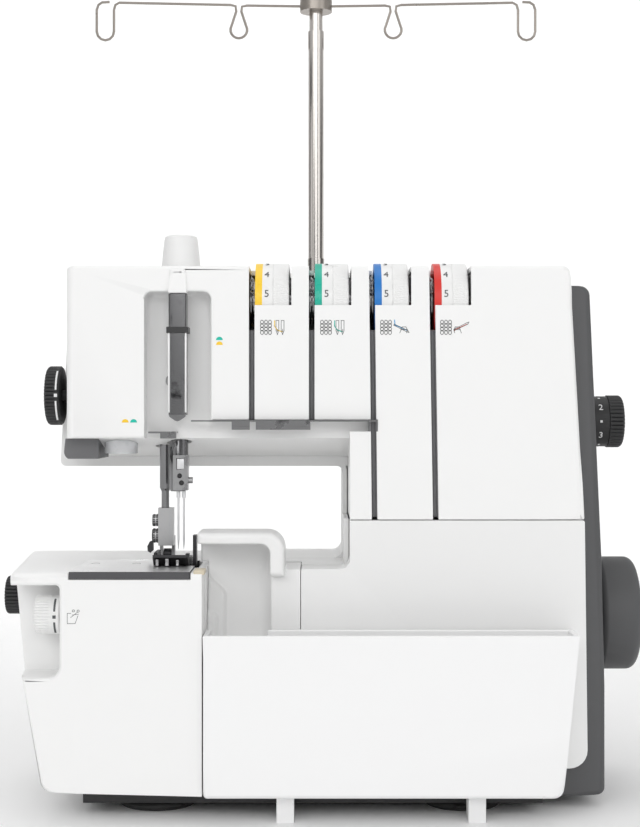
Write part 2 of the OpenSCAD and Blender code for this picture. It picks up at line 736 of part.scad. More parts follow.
module foot_shank() {
    y0 = foot_pin[0] - 3;
    color("#9b9da0") difference() {
        union() {
            box([presser_x - 3.4, presser_y - 3.5, shank_z0 + 1.5],
                [presser_x + 4.4, presser_y + 3.5, 151.5]);
            rod_x(3, presser_x - 6.6, presser_x - 3.3, presser_y, 145);
            rod_x(3.6, presser_x - 6.2, presser_x - 3.3, presser_y, 137);
            for (x = [presser_x - 3.4, presser_x + 2.9]) {
                box([x, y0, foot_pin[1] - 1.8], [x + 1.5, y0 + 5, shank_z0 + 1.6]);
                box([x, presser_y, shank_z0 + 1.5], [x + 1.5, y0 + 5, shank_z0 + 6]);
            }
            rod_x(1, presser_x - 3, presser_x + 4, foot_pin[0], foot_pin[1]);
        }
        rod_z(2 + run, 147.9, 160, presser_x, presser_y);
    }
}

foot_pin = [presser_y + 8, plate_top + 3.3];     // y and z of the foot's hinge

module presser_foot() {
    sole = plate_top + 0.1;
    heel = foot_pin[0] - 5;
    color("#5c5e61") difference() {
        union() {
            box([-84, foot_y0 + 5, sole], [-66.2, heel, sole + 2]);
            along_x(-84, -66.2) polygon([[foot_y0, sole + 4.6], [foot_y0, sole + 6], [foot_y0 + 8, sole + 2],
                [foot_y0 + 8, sole], [foot_y0 + 5, sole]]);
            box([-84, foot_y0 + 6, sole + 1.9], [-82.2, heel - 8, sole + 6.5]);
            box([-68, foot_y0 + 6, sole + 1.9], [-66.2, foot_y0 + 28, sole + 3.4]);
            box([-68, foot_y0 + 6, sole + 3.3], [-66.2, foot_y0 + 11, sole + 6]);
            box([presser_x - 1.5, heel - 1, sole], [presser_x + 2.5, foot_pin[0], sole + 2.4]);
            rod_x(2.8, presser_x - 1.5, presser_x + 2.5, foot_pin[0], foot_pin[1]);
        }
        box([-76.5, needle_y - 5, sole - 1], [-68.5, needle_y + 5, sole + 9]);
        rod_x(1.05, -90, -60, foot_pin[0], foot_pin[1]);
    }
}

lift_y = -14;
lift_z = 222;

module presser_lifter() {
    color("#e9e9ea") {
        rod_x(5, -89, -81, lift_y, lift_z);
        along_x(-89, -81) polygon([
            [lift_y - 3, lift_z - 4], [lift_y + 1, lift_z - 5], [lift_y + 30, lift_z - 32],
            [lift_y + 37, lift_z - 33], [lift_y + 37, lift_z - 27], [lift_y + 32, lift_z - 25],
            [lift_y + 5, lift_z]]);
        rod_x(2.5, -94, -76, lift_y, lift_z);
    }
}

feed_slots = [[-83.2, -80.2], [-78, -75.2], [-69.6, -67.8]];
plate_back = -68;

module needle_plate() {
    color("#b9bbbd") difference() {
        box([-122, bed_front - 0.4, bed_z - 3], [-63.3, plate_back, plate_top]);
        for (s = feed_slots) box([s[0], front_y + 12, 110], [s[1], front_y + 42, 130]);
        box([needle_x - 3, needle_y - 1.4, 110], [needle_x + 3, needle_y + 1.4, 130]);
        box([-67.5, front_y + 14, 110], [-60, front_y + 42, 130]);
        for (x = [-115, -94]) rod_z(2.2, bed_z - 1, 130, x, -90);
    }
    color("#b9bbbd") for (x = [-115, -94]) rod_z(2, bed_z - 1.1, plate_top - 0.1, x, -90);
}

module feed_dogs() {
    color("#a3a5a7") {
        for (s = feed_slots)
            box([s[0] + 0.4, front_y + 14, 111], [s[1] - 0.4, front_y + 22, plate_top - 0.4]);
        for (s = [feed_slots[0], feed_slots[1]])
            box([s[0] + 0.4, front_y + 31, 111], [s[1] - 0.4, front_y + 38, plate_top - 0.4]);
        box([feed_slots[0][0] + 0.4, front_y + 14, 107], [feed_slots[0][1] - 0.4, front_y + 38, 111.1]);
        box([feed_slots[0][0] + 0.4, front_y + 14, 107], [feed_slots[2][1] - 0.4, front_y + 18, 111.1]);
        box([feed_slots[0][0] + 0.4, front_y + 35, 107], [feed_slots[1][1] - 0.4, front_y + 38, 111.1]);
    }
}

module upper_knife() {
    color("#2c2d2f") {
        box([-65.2, -90, 118], [-63.4, -83, 138]);
        along_y(-89, -84) polygon([[-65.2, 102], [-63.4, 102], [-63.4, 118.1], [-65.2, 118.1]]);
    }
}

module lower_knife() {
    color("#c9c2ae") box([-67.2, -92, 108], [-65.5, -80, plate_top - 0.1]);
}

lower_pivot = [-98, 58];     // x and z
upper_pivot = [-46, 60];

module looper(pivot, y0, arm, blade) {
    rod_y(3, front_y + 27, front_y + 51, pivot.x, pivot.y);
    difference() {
        rod_y(6, front_y + 28, front_y + 40.5, pivot.x, pivot.y);
        rod_y(2.9, front_y + 27, front_y + 42, pivot.x, pivot.y);
    }
    along_y(y0, y0 + 2) polygon(arm);
    along_y(y0, y0 + 2) polygon(blade);
}

module lower_looper() {
    color("#b3b5b8") looper(lower_pivot, front_y + 27.5,
        [[-102, 60], [-98, 97], [-93, 97], [-94, 60]],
        [[-98, 95], [-93, 96], [-70, 102.5], [-69, 103.3], [-72, 104], [-96, 101]]);
}

module upper_looper() {
    color("#b3b5b8") looper(upper_pivot, front_y + 38,
        [[-50, 62], [-50, 96], [-46, 98], [-42, 62]],
        [[-50, 94], [-57, 104], [-58, 106], [-55, 105], [-46, 97]]);
}

// ---------------------------------------------------- spool stand and mast

module spool_tray() {
    color("#e6e7e8") difference() {
        union() {
            translate([0, 0, tray_z0]) linear_extrude(tray_z1 - tray_z0) polygon(rounded([
                [-140, tray_y0, 6], [140, tray_y0, 6], [140, half_depth, 18], [-140, half_depth, 18]]));
            for (x = [-62, 50]) box([x, back_y, tray_z0], [x + 12, tray_y0 + 1, tray_z0 + 8]);
            rod_z(11, tray_z0, 206, mast_x, mast_y);
        }
        difference() {
            translate([0, 0, tray_z0 + wall]) linear_extrude(30) offset(delta = -wall) polygon(rounded([
                [-140, tray_y0, 6], [140, tray_y0, 6], [140, half_depth, 18], [-140, half_depth, 18]]));
            rod_z(11, tray_z0, 206, mast_x, mast_y);
            for (i = [-1.5:1.5]) rod_z(8, tray_z0, tray_z0 + 6, spool_pitch * i, spool_y);
        }
        rod_z(5.2, tray_z0 + 3, 220, mast_x, mast_y);
        for (i = [-1.5:1.5]) rod_z(2, tray_z0 + 1, 220, spool_pitch * i, spool_y);
    }
}

module spool_holders() {
    color("#dfe0e1") for (i = [-1.5:1.5]) translate([spool_pitch * i, spool_y, 0]) {
        translate([0, 0, tray_z0 + 1]) cylinder(r = 2, h = 96);
        difference() {
            union() {
                translate([0, 0, tray_z0 + 6]) cylinder(r = 24, h = 3);
                translate([0, 0, tray_z0 + 8.9]) cylinder(r1 = 12, r2 = 5, h = 34);
            }
            translate([0, 0, tray_z0 + 5]) cylinder(r = 1.9, h = 60);
        }
    }
}

module mast_lower() {
    color("#a09a94") difference() {
        rod_z(5.2, tray_z0 + 3, mast_joint, mast_x, mast_y);
        rod_z(4.75 + run, tray_z0 + 6, mast_joint + 1, mast_x, mast_y);
    }
}

module mast_upper() {
    color("#a8a29b") {
        rod_z(4.75, tray_z0 + 90, mast_neck, mast_x, mast_y);
        rod_z(5, mast_neck - 11, mast_neck, mast_x, mast_y);
        rod_z(4.15, mast_neck - 0.1, mast_top - 5, mast_x, mast_y);
    }
}

guide_wire_r = 0.8;
guide_z = mast_top - 4.1;

// Half of the guide wire: out to a teardrop eye, on to a long open eye at the end
function guide_path() =
    let (eye = 0.352 * guide_half, end = guide_half)
    concat(
        [[0, 0], [eye - 5, 0.6], [eye - 2, 0], [eye - 1.6, -3]],
        [for (i = [0:12]) [eye, -14.5] + 5.2 * [cos(150 + 20 * i), sin(150 + 20 * i)]],
        [[eye + 1.6, -3], [eye + 2, 0.2], [eye + 5, 1], [end - 14, 2.4], [end - 11.6, 1], [end - 10.7, -2]],
        [for (i = [0:6]) [end - 5.35, -15.6] + 5.35 * [cos(180 + 30 * i), sin(180 + 30 * i)]],
        [[end, -2], [end - 1, 1], [end - 3.4, 2.6], [end - 8, 2.8]]);

module thread_guide() {
    color("#efefef") difference() {
        rod_z(9.9, mast_top - 7.6, mast_top, mast_x, mast_y);
        rod_z(4.15, mast_top - 9, mast_top - 5, mast_x, mast_y);
    }
    color("#8c867f") for (s = [-1, 1])
        wire([for (p = guide_path())
              [mast_x + s * p[0], mast_y, guide_z + p[1]]], guide_wire_r);
}

// ----------------------------------------------------------------- details

module power_switch() {
    color("#1d1d1f") {
        box([switch_x, switch_y - 5.6, switch_z - 9.6], [switch_x + 7.7, switch_y + 5.6, switch_z + 9.6]);
        rod_y(2.5, switch_y - 5.6, switch_y + 5.6, switch_x, switch_z);
    }
}

module cover_screws() {
    color("#8e9093") for (p = [[-128, 262], [-128, 184], [70, 262], [70, 26], [-126, 26], [-126, 106]])
        difference() {
            rod_y(3.4, back_y, back_y + 1.6, p.x, p.y);
            box([p.x - 2.4, back_y + 0.8, p.y - 0.5], [p.x + 2.4, back_y + 2, p.y + 0.5]);
            box([p.x - 0.5, back_y + 0.8, p.y - 2.4], [p.x + 0.5, back_y + 2, p.y + 2.4]);
        }
}

// ------------------------------------------------------------------- nodes

base_plate();
rubber_feet();
main_frame();
left_cover();
front_cover();
rear_cover();
right_cover();
looper_door();
waste_chute();
bed_infill();
waste_bin();
needle_bar_cap();
lamp_cover();
lamp_lens();
take_up_channel();
channel_band();
thread_guide_rail();
needle_thread_guide();
thread_channels();
tension_bracket();
tension_spindles();
tension_discs();
tension_drum(0);  // tension_dial_1
tension_drum(1);  // tension_dial_2
tension_drum(2);  // tension_dial_3
tension_drum(3);  // tension_dial_4
dial_ring(0, "#f6cf3e");  // dial_ring_yellow
dial_ring(1, "#05b39b");  // dial_ring_green
dial_ring(2, "#0a82c8");  // dial_ring_blue
dial_ring(3, "#d82a20");  // dial_ring_red
stitch_length_dial();
pressure_dial();
cutting_width_dial();
blade_knob();
handwheel();
main_shaft();
main_bearings();
motor();
motor_pulley();
drive_belt();
needle_bar();
needle_clamp();
needles();
presser_bar();
foot_shank();
presser_foot();
presser_lifter();
needle_plate();
feed_dogs();
upper_knife();
lower_knife();
upper_looper();
lower_looper();
spool_tray();
spool_holders();
mast_lower();
mast_upper();
thread_guide();
power_switch();
cover_screws();
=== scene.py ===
"""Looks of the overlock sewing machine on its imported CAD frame. Metres, +Z up, -Y towards the operator."""
import math

import bmesh
import bpy
import numpy as np
import openvdb
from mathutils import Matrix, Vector


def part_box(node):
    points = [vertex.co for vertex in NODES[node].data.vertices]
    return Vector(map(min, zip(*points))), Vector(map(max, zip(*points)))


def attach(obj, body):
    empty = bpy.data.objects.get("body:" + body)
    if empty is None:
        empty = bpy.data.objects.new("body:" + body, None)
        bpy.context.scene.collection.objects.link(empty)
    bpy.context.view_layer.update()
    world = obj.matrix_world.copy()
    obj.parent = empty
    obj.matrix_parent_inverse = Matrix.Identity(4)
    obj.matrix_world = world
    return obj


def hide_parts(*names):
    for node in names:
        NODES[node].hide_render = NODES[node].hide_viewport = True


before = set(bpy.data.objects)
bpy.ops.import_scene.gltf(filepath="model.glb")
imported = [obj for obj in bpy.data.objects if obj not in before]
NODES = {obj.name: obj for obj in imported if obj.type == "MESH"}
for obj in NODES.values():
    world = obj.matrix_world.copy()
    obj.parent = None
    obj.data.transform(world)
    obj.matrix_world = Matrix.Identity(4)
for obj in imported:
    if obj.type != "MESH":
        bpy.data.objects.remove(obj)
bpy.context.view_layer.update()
MM = 0.001
RINGS = ("yellow", "green", "blue", "red")      # the dials' colour rings, from left to right


# ---------------------------------------------------------------- materials

def new_material(name):
    mat = bpy.data.materials.new(name)
    mat.use_nodes = True
    tree = mat.node_tree
    return mat, tree, tree.nodes["Principled BSDF"]


def link(tree, a, b):
    tree.links.new(a, b)


def noise(tree, scale, detail=3.0, stretch=(1, 1, 1), rough=0.5):
    """Noise in object space, in features per metre."""
    coord = tree.nodes.new("ShaderNodeTexCoord")
    place = tree.nodes.new("ShaderNodeMapping")
    place.inputs["Scale"].default_value = stretch
    tex = tree.nodes.new("ShaderNodeTexNoise")
    tex.inputs["Scale"].default_value = scale
    tex.inputs["Detail"].default_value = detail
    tex.inputs["Roughness"].default_value = rough
    link(tree, coord.outputs["Object"], place.inputs["Vector"])
    link(tree, place.outputs["Vector"], tex.inputs["Vector"])
    return tex.outputs["Fac"]


def spread(tree, fac, low, high):
    """Maps the lower part of a noise factor, 0.3 to 0.42, to low to high."""
    node = tree.nodes.new("ShaderNodeMapRange")
    node.inputs["From Min"].default_value = 0.3
    node.inputs["From Max"].default_value = 0.42
    node.inputs["To Min"].default_value = low
    node.inputs["To Max"].default_value = high
    link(tree, fac, node.inputs["Value"])
    return node.outputs["Result"]


def mixed(tree, fac, a, b):
    """Colour a where fac is 0 and colour b where it is 1."""
    node = tree.nodes.new("ShaderNodeMix")
    node.data_type = "RGBA"
    node.inputs["A"].default_value = (*a, 1)
    node.inputs["B"].default_value = (*b, 1)
    link(tree, fac, node.inputs["Factor"])
    return node.outputs["Result"]


def worn_edges(tree, low, high):
    """Near 0 on flats and near 1 on convex edges: the mask for a painted highlight on edges."""
    geo = tree.nodes.new("ShaderNodeNewGeometry")
    node = tree.nodes.new("ShaderNodeMapRange")
    node.inputs["From Min"].default_value = low
    node.inputs["From Max"].default_value = high
    link(tree, geo.outputs["Pointiness"], node.inputs["Value"])
    return node.outputs["Result"]


def bump(tree, height, strength, distance, shader):
    """Relief from a height texture; distance is its depth in metres."""
    node = tree.nodes.new("ShaderNodeBump")
    node.inputs["Strength"].default_value = strength
    node.inputs["Distance"].default_value = distance
    link(tree, height, node.inputs["Height"])
    link(tree, node.outputs["Normal"], shader.inputs["Normal"])


def moulded(name, colour, rough=0.35, grain=2600, depth=0.25, shade=0.03):
    """Injection-moulded plastic: spark-eroded grain, faint cloudy tone and a painted highlight, a slightly
    lighter colour on convex edges.
    """
    mat, tree, shader = new_material(name)
    cloud = noise(tree, 22, 4)
    darker = tuple(c * (1 - shade) for c in colour)
    tone = mixed(tree, spread(tree, cloud, 0, 1), darker, colour)
    # Painted highlight: convex edges get a slightly lighter colour.
    edge = tree.nodes.new("ShaderNodeMix")
    edge.data_type = "RGBA"
    edge.inputs["B"].default_value = (*[min(1, c * 1.04 + 0.012) for c in colour], 1)
    link(tree, tone, edge.inputs["A"])
    link(tree, worn_edges(tree, 0.52, 0.6), edge.inputs["Factor"])
    link(tree, edge.outputs["Result"], shader.inputs["Base Color"])
    link(tree, spread(tree, noise(tree, 60, 5), rough - 0.05, rough + 0.07), shader.inputs["Roughness"])
    bump(tree, noise(tree, grain, 2), depth, 0.00004, shader)
    shader.inputs["IOR"].default_value = 1.5
    return mat


def ground_metal(name, colour, rough=0.25, stretch=(1, 1, 40), scale=260, depth=0.2, shade=0.16, marks=0.08):
    """Ground or drawn metal: fine lines along one axis, small tone changes and handling marks."""
    mat, tree, shader = new_material(name)
    lines = noise(tree, scale, 6, stretch, 0.65)
    darker = tuple(c * (1 - shade) for c in colour)
    tone = mixed(tree, spread(tree, lines, 0, 1), darker, colour)
    link(tree, tone, shader.inputs["Base Color"])
    shader.inputs["Metallic"].default_value = 1.0
    smudge = noise(tree, 90, 4)
    link(tree, spread(tree, smudge, rough - 0.7 * marks, rough + 1.3 * marks), shader.inputs["Roughness"])
    shader.inputs["Anisotropic"].default_value = 0.35
    bump(tree, lines, depth, 0.00003, shader)
    return mat


def top_polished(name, top, sides, rough):
    """Ground plate with painted shade: the colour is bright on faces that look up and darker on the sides,
    set by the way each face points.
    """
    mat, tree, shader = new_material(name)
    geo = tree.nodes.new("ShaderNodeNewGeometry")
    split = tree.nodes.new("ShaderNodeSeparateXYZ")
    link(tree, geo.outputs["True Normal"], split.inputs["Vector"])
    lines = noise(tree, 1500, 4, (1, 0.04, 1), 0.6)
    shade = spread(tree, lines, 0.9, 1.0)
    # Painted shade: the colour goes from the sides' dark tone to the top's bright tone as a face turns
    # upwards.
    tone = mixed(tree, split.outputs["Z"], sides, top)
    scaled = tree.nodes.new("ShaderNodeVectorMath")
    scaled.operation = "SCALE"
    link(tree, tone, scaled.inputs["Vector"])
    link(tree, shade, scaled.inputs["Scale"])
    link(tree, scaled.outputs["Vector"], shader.inputs["Base Color"])
    shader.inputs["Metallic"].default_value = 0.9
    link(tree, spread(tree, noise(tree, 90, 3), rough - 0.03, rough + 0.05), shader.inputs["Roughness"])
    return mat


def soft_rubber(name, colour):
    """Matt rubber with a little dust."""
    mat, tree, shader = new_material(name)
    dust = spread(tree, noise(tree, 180, 6), 0, 1)
    link(tree, mixed(tree, dust, colour, tuple(c * 1.7 + 0.01 for c in colour)), shader.inputs["Base Color"])
    shader.inputs["Roughness"].default_value = 0.78
    bump(tree, noise(tree, 3200, 3), 0.4, 0.00005, shader)
    return mat


def clear_lens(name):
    """Slightly milky clear plastic."""
    mat, tree, shader = new_material(name)
    link(tree, mixed(tree, spread(tree, noise(tree, 400, 3), 0, 1), (0.86, 0.88, 0.9), (0.97, 0.98, 1.0)),
         shader.inputs["Base Color"])
    shader.inputs["Transmission Weight"].default_value = 0.5
    shader.inputs["Roughness"].default_value = 0.12
    bump(tree, noise(tree, 900, 2), 0.3, 0.00008, shader)
    return mat


def printed(name, colour):
    """Pad-printed ink: slightly uneven, with tiny pinholes."""
    mat, tree, shader = new_material(name)
    holes = spread(tree, noise(tree, 5000, 3), 0, 1)
    link(tree, mixed(tree, holes, tuple(c * 0.85 for c in colour), colour), shader.inputs["Base Color"])
    shader.inputs["Roughness"].default_value = 0.45
    return mat


WHITE = moulded("white_shell", (0.86, 0.86, 0.855), 0.33, 2600, 0.22, 0.02)
WHITE_SOFT = moulded("white_small_parts", (0.84, 0.84, 0.835), 0.28, 3200, 0.12, 0.03)
BIN_WHITE = moulded("bin_white", (0.87, 0.87, 0.87), 0.38, 2000, 0.3, 0.02)
DARK = moulded("dark_shell", (0.084, 0.085, 0.088), 0.46, 1500, 0.6, 0.15)
BLACK = moulded("black_plastic", (0.018, 0.018, 0.019), 0.42, 1800, 0.45, 0.2)
GREY_PLASTIC = moulded("grey_plastic", (0.13, 0.13, 0.135), 0.45, 1800, 0.4, 0.12)
RUBBER = soft_rubber("foot_rubber", (0.012, 0.012, 0.012))
STEEL = ground_metal("ground_steel", (0.38, 0.38, 0.39), 0.15, (1, 1, 0.06), 1500)
BAR_STEEL = ground_metal("bar_steel", (0.23, 0.23, 0.235), 0.14, (1, 1, 0.04), 1500, 0.1, 0.12, 0.03)
SATIN_STEEL = ground_metal("satin_steel", (0.42, 0.42, 0.425), 0.24, (1, 1, 0.08), 1300, 0.25, 0.2)
CLAMP_BRIGHT = ground_metal("bright_recess", (0.8, 0.8, 0.81), 0.4, (1, 1, 0.08), 1300, 0.2, 0.12)
# Painted highlight: a near-white metal for the strips along the take-up channel's edges.
PAINTED_HIGHLIGHT_METAL = ground_metal("painted_highlight_metal", (0.88, 0.88, 0.88), 0.5, (1, 1, 0.05), 1500, 0.1, 0.1)
SHANK = ground_metal("blasted_steel", (0.52, 0.52, 0.525), 0.38, (1, 1, 1), 1800, 0.3, 0.12)
SHEET = ground_metal("plated_sheet", (0.32, 0.32, 0.325), 0.17, (0.05, 1, 1), 1600, 0.12)
CHANNEL = ground_metal("channel_sheet", (0.24, 0.24, 0.245), 0.16, (1, 1, 0.03), 1500, 0.08, 0.1)
# The needle plate's sides get painted shade, far darker than its top.
PLATE = top_polished("needle_plate_steel", (0.8, 0.8, 0.8), (0.12, 0.12, 0.125), 0.3)
DARK_STEEL = ground_metal("dark_steel", (0.07, 0.07, 0.073), 0.3, (1, 0.1, 1), 1500, 0.3, 0.3)
WIRE = ground_metal("guide_wire", (0.34, 0.31, 0.28), 0.24, (0.05, 1, 1), 1200, 0.1, 0.15)
CAST = ground_metal("die_cast", (0.6, 0.61, 0.62), 0.5, (1, 1, 1), 700, 0.7, 0.15)
BRONZE = ground_metal("sintered_bronze", (0.5, 0.33, 0.16), 0.42, (1, 1, 1), 2400, 0.5, 0.3)
TUBE = ground_metal("drawn_tube", (0.6, 0.57, 0.54), 0.19, (1, 1, 0.01), 900, 0.04, 0.07, 0.01)
GREY_PAINT = moulded("satin_grey_paint", (0.15, 0.155, 0.165), 0.42, 1200, 0.3, 0.12)
SLOT_GREY = moulded("slot_strip", (0.2, 0.2, 0.208), 0.35, 1500, 0.2, 0.1)
YELLOW = moulded("yellow_ring", (0.92, 0.6, 0.03), 0.3, 3000, 0.1, 0.05)
GREEN = moulded("green_ring", (0.0, 0.42, 0.3), 0.3, 3000, 0.1, 0.06)
BLUE = moulded("blue_ring", (0.0, 0.17, 0.54), 0.3, 3000, 0.1, 0.06)
RED = moulded("red_ring", (0.66, 0.02, 0.012), 0.3, 3000, 0.1, 0.06)
IVORY = moulded("ivory_plastic", (0.62, 0.55, 0.42), 0.35, 2400, 0.2, 0.08)
LENS = clear_lens("lamp_lens")
INK_DARK = printed("dark_ink", (0.08, 0.085, 0.09))
INK_WHITE = printed("white_ink", (0.85, 0.85, 0.85))
INK_YELLOW = printed("yellow_ink", (0.95, 0.62, 0.03))
INK_GREEN = printed("green_ink", (0.0, 0.52, 0.4))
INK_GREY = printed("grey_ink", (0.16, 0.165, 0.17))
INK_BLUE = printed("blue_ink", (0.02, 0.35, 0.72))
INK_RED = printed("red_ink", (0.72, 0.1, 0.05))

NODE_LOOKS = {
    "base_plate": BLACK, "rubber_feet": RUBBER, "main_frame": CAST, "left_cover": WHITE,
    "front_cover": WHITE, "rear_cover": WHITE, "right_cover": DARK, "looper_door": WHITE,
    "waste_chute": WHITE, "bed_infill": WHITE, "waste_bin": BIN_WHITE, "needle_bar_cap": WHITE_SOFT,
    "lamp_cover": GREY_PLASTIC, "lamp_lens": LENS, "take_up_channel": CHANNEL, "channel_band": BLACK,
    "thread_guide_rail": SHEET, "needle_thread_guide": SHEET, "thread_channels": SLOT_GREY,
    "tension_bracket": SHEET, "tension_spindles": STEEL, "tension_discs": SHEET,
    "tension_dial_1": WHITE_SOFT, "tension_dial_2": WHITE_SOFT, "tension_dial_3": WHITE_SOFT,
    "tension_dial_4": WHITE_SOFT, "dial_ring_yellow": YELLOW, "dial_ring_green": GREEN,
    "dial_ring_blue": BLUE, "dial_ring_red": RED, "stitch_length_dial": BLACK, "pressure_dial": BLACK,
    "cutting_width_dial": WHITE_SOFT, "blade_knob": BLACK, "handwheel": DARK, "main_shaft": STEEL,
    "main_bearings": BRONZE, "motor": GREY_PAINT, "motor_pulley": CAST, "drive_belt": RUBBER,
    "needle_bar": BAR_STEEL, "needle_clamp": SATIN_STEEL, "needles": CLAMP_BRIGHT,
    "presser_bar": BAR_STEEL, "foot_shank": SHANK, "presser_foot": DARK_STEEL,
    "presser_lifter": WHITE_SOFT, "needle_plate": PLATE, "feed_dogs": STEEL, "upper_knife": DARK_STEEL,
    "lower_knife": STEEL, "upper_looper": STEEL, "lower_looper": STEEL, "spool_tray": WHITE,
    "spool_holders": WHITE_SOFT, "mast_lower": TUBE, "mast_upper": TUBE, "thread_guide": WIRE,
    "power_switch": BLACK, "cover_screws": STEEL,
}
SOFT_EDGES = {      # widths in millimetres
    "left_cover": 0.8, "front_cover": 0.7, "rear_cover": 0.8, "right_cover": 0.8, "looper_door": 0.5,
    "waste_chute": 0.9, "bed_infill": 0.4, "waste_bin": 0.6, "base_plate": 0.5, "main_frame": 0.8,
    "spool_tray": 0.7, "needle_plate": 0.12, "presser_foot": 0.3, "foot_shank": 0.3, "needle_clamp": 0.3,
    "presser_lifter": 0.8, "lamp_cover": 0.8, "power_switch": 0.6, "needle_bar_cap": 0.5, "motor": 0.8,
}


# ---------------------------------------------------------------- mesh tools

def smooth_by_angle(obj, degrees=35):
    for poly in obj.data.polygons:
        poly.use_smooth = True
    obj.data.set_sharp_from_angle(angle=math.radians(degrees))


def put(name, verts, faces, mat, body, replaced=(), slot=None, smooth=35):
    """A new piece from vertices in metres, riding on a body."""
    mesh = bpy.data.meshes.new(name)
    mesh.from_pydata([tuple(v) for v in verts], [], faces)
    mesh.update()
    obj = bpy.data.objects.new(name, mesh)
    bpy.context.scene.collection.objects.link(obj)
    mesh.materials.append(mat)
    bm = bmesh.new()
    bm.from_mesh(mesh)
    bmesh.ops.remove_doubles(bm, verts=bm.verts, dist=1e-6)
    bmesh.ops.recalc_face_normals(bm, faces=bm.faces)
    bm.to_mesh(mesh)
    bm.free()
    smooth_by_angle(obj, smooth)
    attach(obj, body)
    if replaced:
        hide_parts(*replaced)
    return obj


def skin(rings, n):
    """Faces between rings of n points each, closed at both ends."""
    faces = [(i * n + k, i * n + (k + 1) % n, (i + 1) * n + (k + 1) % n, (i + 1) * n + k)
             for i in range(rings - 1) for k in range(n)]
    return faces + [tuple(range(n))[::-1], tuple(range((rings - 1) * n, rings * n))]


def turned(profile, centre, steps, rib=None):
    """Vertices and faces of a solid turned about X. profile is [(x, r)] from axis to axis; rib(x, r, angle)
    returns the radius after the grip is cut."""
    verts = []
    for x, r in profile:
        for k in range(steps):
            a = 2 * math.pi * k / steps
            rr = rib(x, r, a) if rib else r
            verts.append((x, centre[1] - rr * math.cos(a), centre[2] + rr * math.sin(a)))
    return verts, skin(len(profile), steps)


def plate(points, y0, y1):
    """A flat plate from depth y0 to y1; points are (x, z)."""
    return [(x, y, z) for y in (y0, y1) for x, z in points], skin(2, len(points))


def rounded_box(lo, hi, r, steps=3):
    """Vertices and faces of a box with its edges rounded."""
    bm = bmesh.new()
    bmesh.ops.create_cube(bm, size=1)
    for v in bm.verts:
        v.co = Vector([lo[i] + (v.co[i] + 0.5) * (hi[i] - lo[i]) for i in range(3)])
    bmesh.ops.bevel(bm, geom=bm.edges[:], offset=r, segments=steps, affect="EDGES", profile=0.5)
    verts = [tuple(v.co) for v in bm.verts]
    faces = [tuple(v.index for v in f.verts) for f in bm.faces]
    bm.free()
    return verts, faces


def join(*parts):
    """Several pieces' vertices and faces as one."""
    verts, faces = [], []
    for v, f in parts:
        base = len(verts)
        verts += list(v)
        faces += [tuple(i + base for i in face) for face in f]
    return verts, faces


def node_box(node):
    """A CAD node's lowest and highest corner in metres."""
    lo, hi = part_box(node)
    return Vector(lo), Vector(hi)


def box_mm(node):
    """A CAD node's lowest and highest corner in millimetres."""
    return [corner / MM for corner in node_box(node)]


def knob_frame(node):
    """Low and high X, centre and radius of something that turns about X."""
    lo, hi = node_box(node)
    return lo.x, hi.x, (lo + hi) / 2, (hi.z - lo.z) / 2


def grip(n, depth, x0, x1, fade):
    """A rib function: n ribs between x0 and x1, fading in over fade."""
    def cut(x, r, a):
        inside = min(max((x - x0) / fade, 0), max((x1 - x) / fade, 0), 1)
        wave = abs(math.sin(n * a / 2))
        return r - depth * inside * (1 - wave) ** 1.5
    return cut


def around(a, b, r, n=5):
    """Profile points of a knob's rounded rim: from radius r at x = a, in to the end face at x = b."""
    turns = [math.pi / 2 * i / n for i in range(n + 1)]
    return [(a + (b - a) * math.sin(t), r - abs(b - a) * (1 - math.cos(t))) for t in turns]


PRINT_SUNK = 0.15 * MM      # how far wrapped print reaches below the surface under it


def curved_print(text, size, x, radius, angle, centre):
    """Digits wrapped on a cylinder about X, seen from the front; angle is upwards from the front."""
    name = "digit_" + text
    curve = bpy.data.curves.new(name, "FONT")
    curve.body = text
    curve.size = size
    curve.align_x = "CENTER"
    curve.align_y = "CENTER"
    curve.extrude = 0.5
    curve.resolution_u = 3
    temp = bpy.data.objects.new(name + "_flat", curve)
    bpy.context.scene.collection.objects.link(temp)
    bpy.context.view_layer.update()
    flat = temp.evaluated_get(bpy.context.evaluated_depsgraph_get()).to_mesh()
    verts = []
    for v in flat.vertices:
        a = math.radians(angle) + v.co.y / radius
        r = radius + (0.16 * MM if v.co.z > 0 else -PRINT_SUNK)
        verts.append((x + v.co.x, centre[1] - r * math.cos(a), centre[2] + r * math.sin(a)))
    faces = [tuple(p.vertices) for p in flat.polygons]
    bpy.data.objects.remove(temp)
    bpy.data.curves.remove(curve)
    return verts, faces


def bar_on(x0, x1, radius, angle, height, centre):
    """A printed bar wrapped on a cylinder about X."""
    verts, faces = [], []
    half = height / radius / 2
    steps = 12
    for x in (x0, x1):
        for k in range(steps + 1):
            a = math.radians(angle) - half + 2 * half * k / steps
            for r in (radius - PRINT_SUNK, radius + 0.05 * MM):
                verts.append((x, centre[1] - r * math.cos(a), centre[2] + r * math.sin(a)))
    n = 2 * steps + 2
    for k in range(steps):
        i = 2 * k
        faces += [(i + 1, i + 3, n + i + 3, n + i + 1), (i, n + i, n + i + 2, i + 2),
                  (i, i + 2, i + 3, i + 1), (n + i, n + i + 1, n + i + 3, n + i + 2)]
    faces += [(0, 1, n + 1, n), (n - 2, 2 * n - 2, 2 * n - 1, n - 1)]
    return verts, faces


FACE = round(box_mm("looper_door")[0].y, 3)         # the body's front face, in millimetres
BED_FACE = round(box_mm("left_cover")[0].y, 3)      # the front of the bed


# ---------------------------------------------------------------- CAD nodes

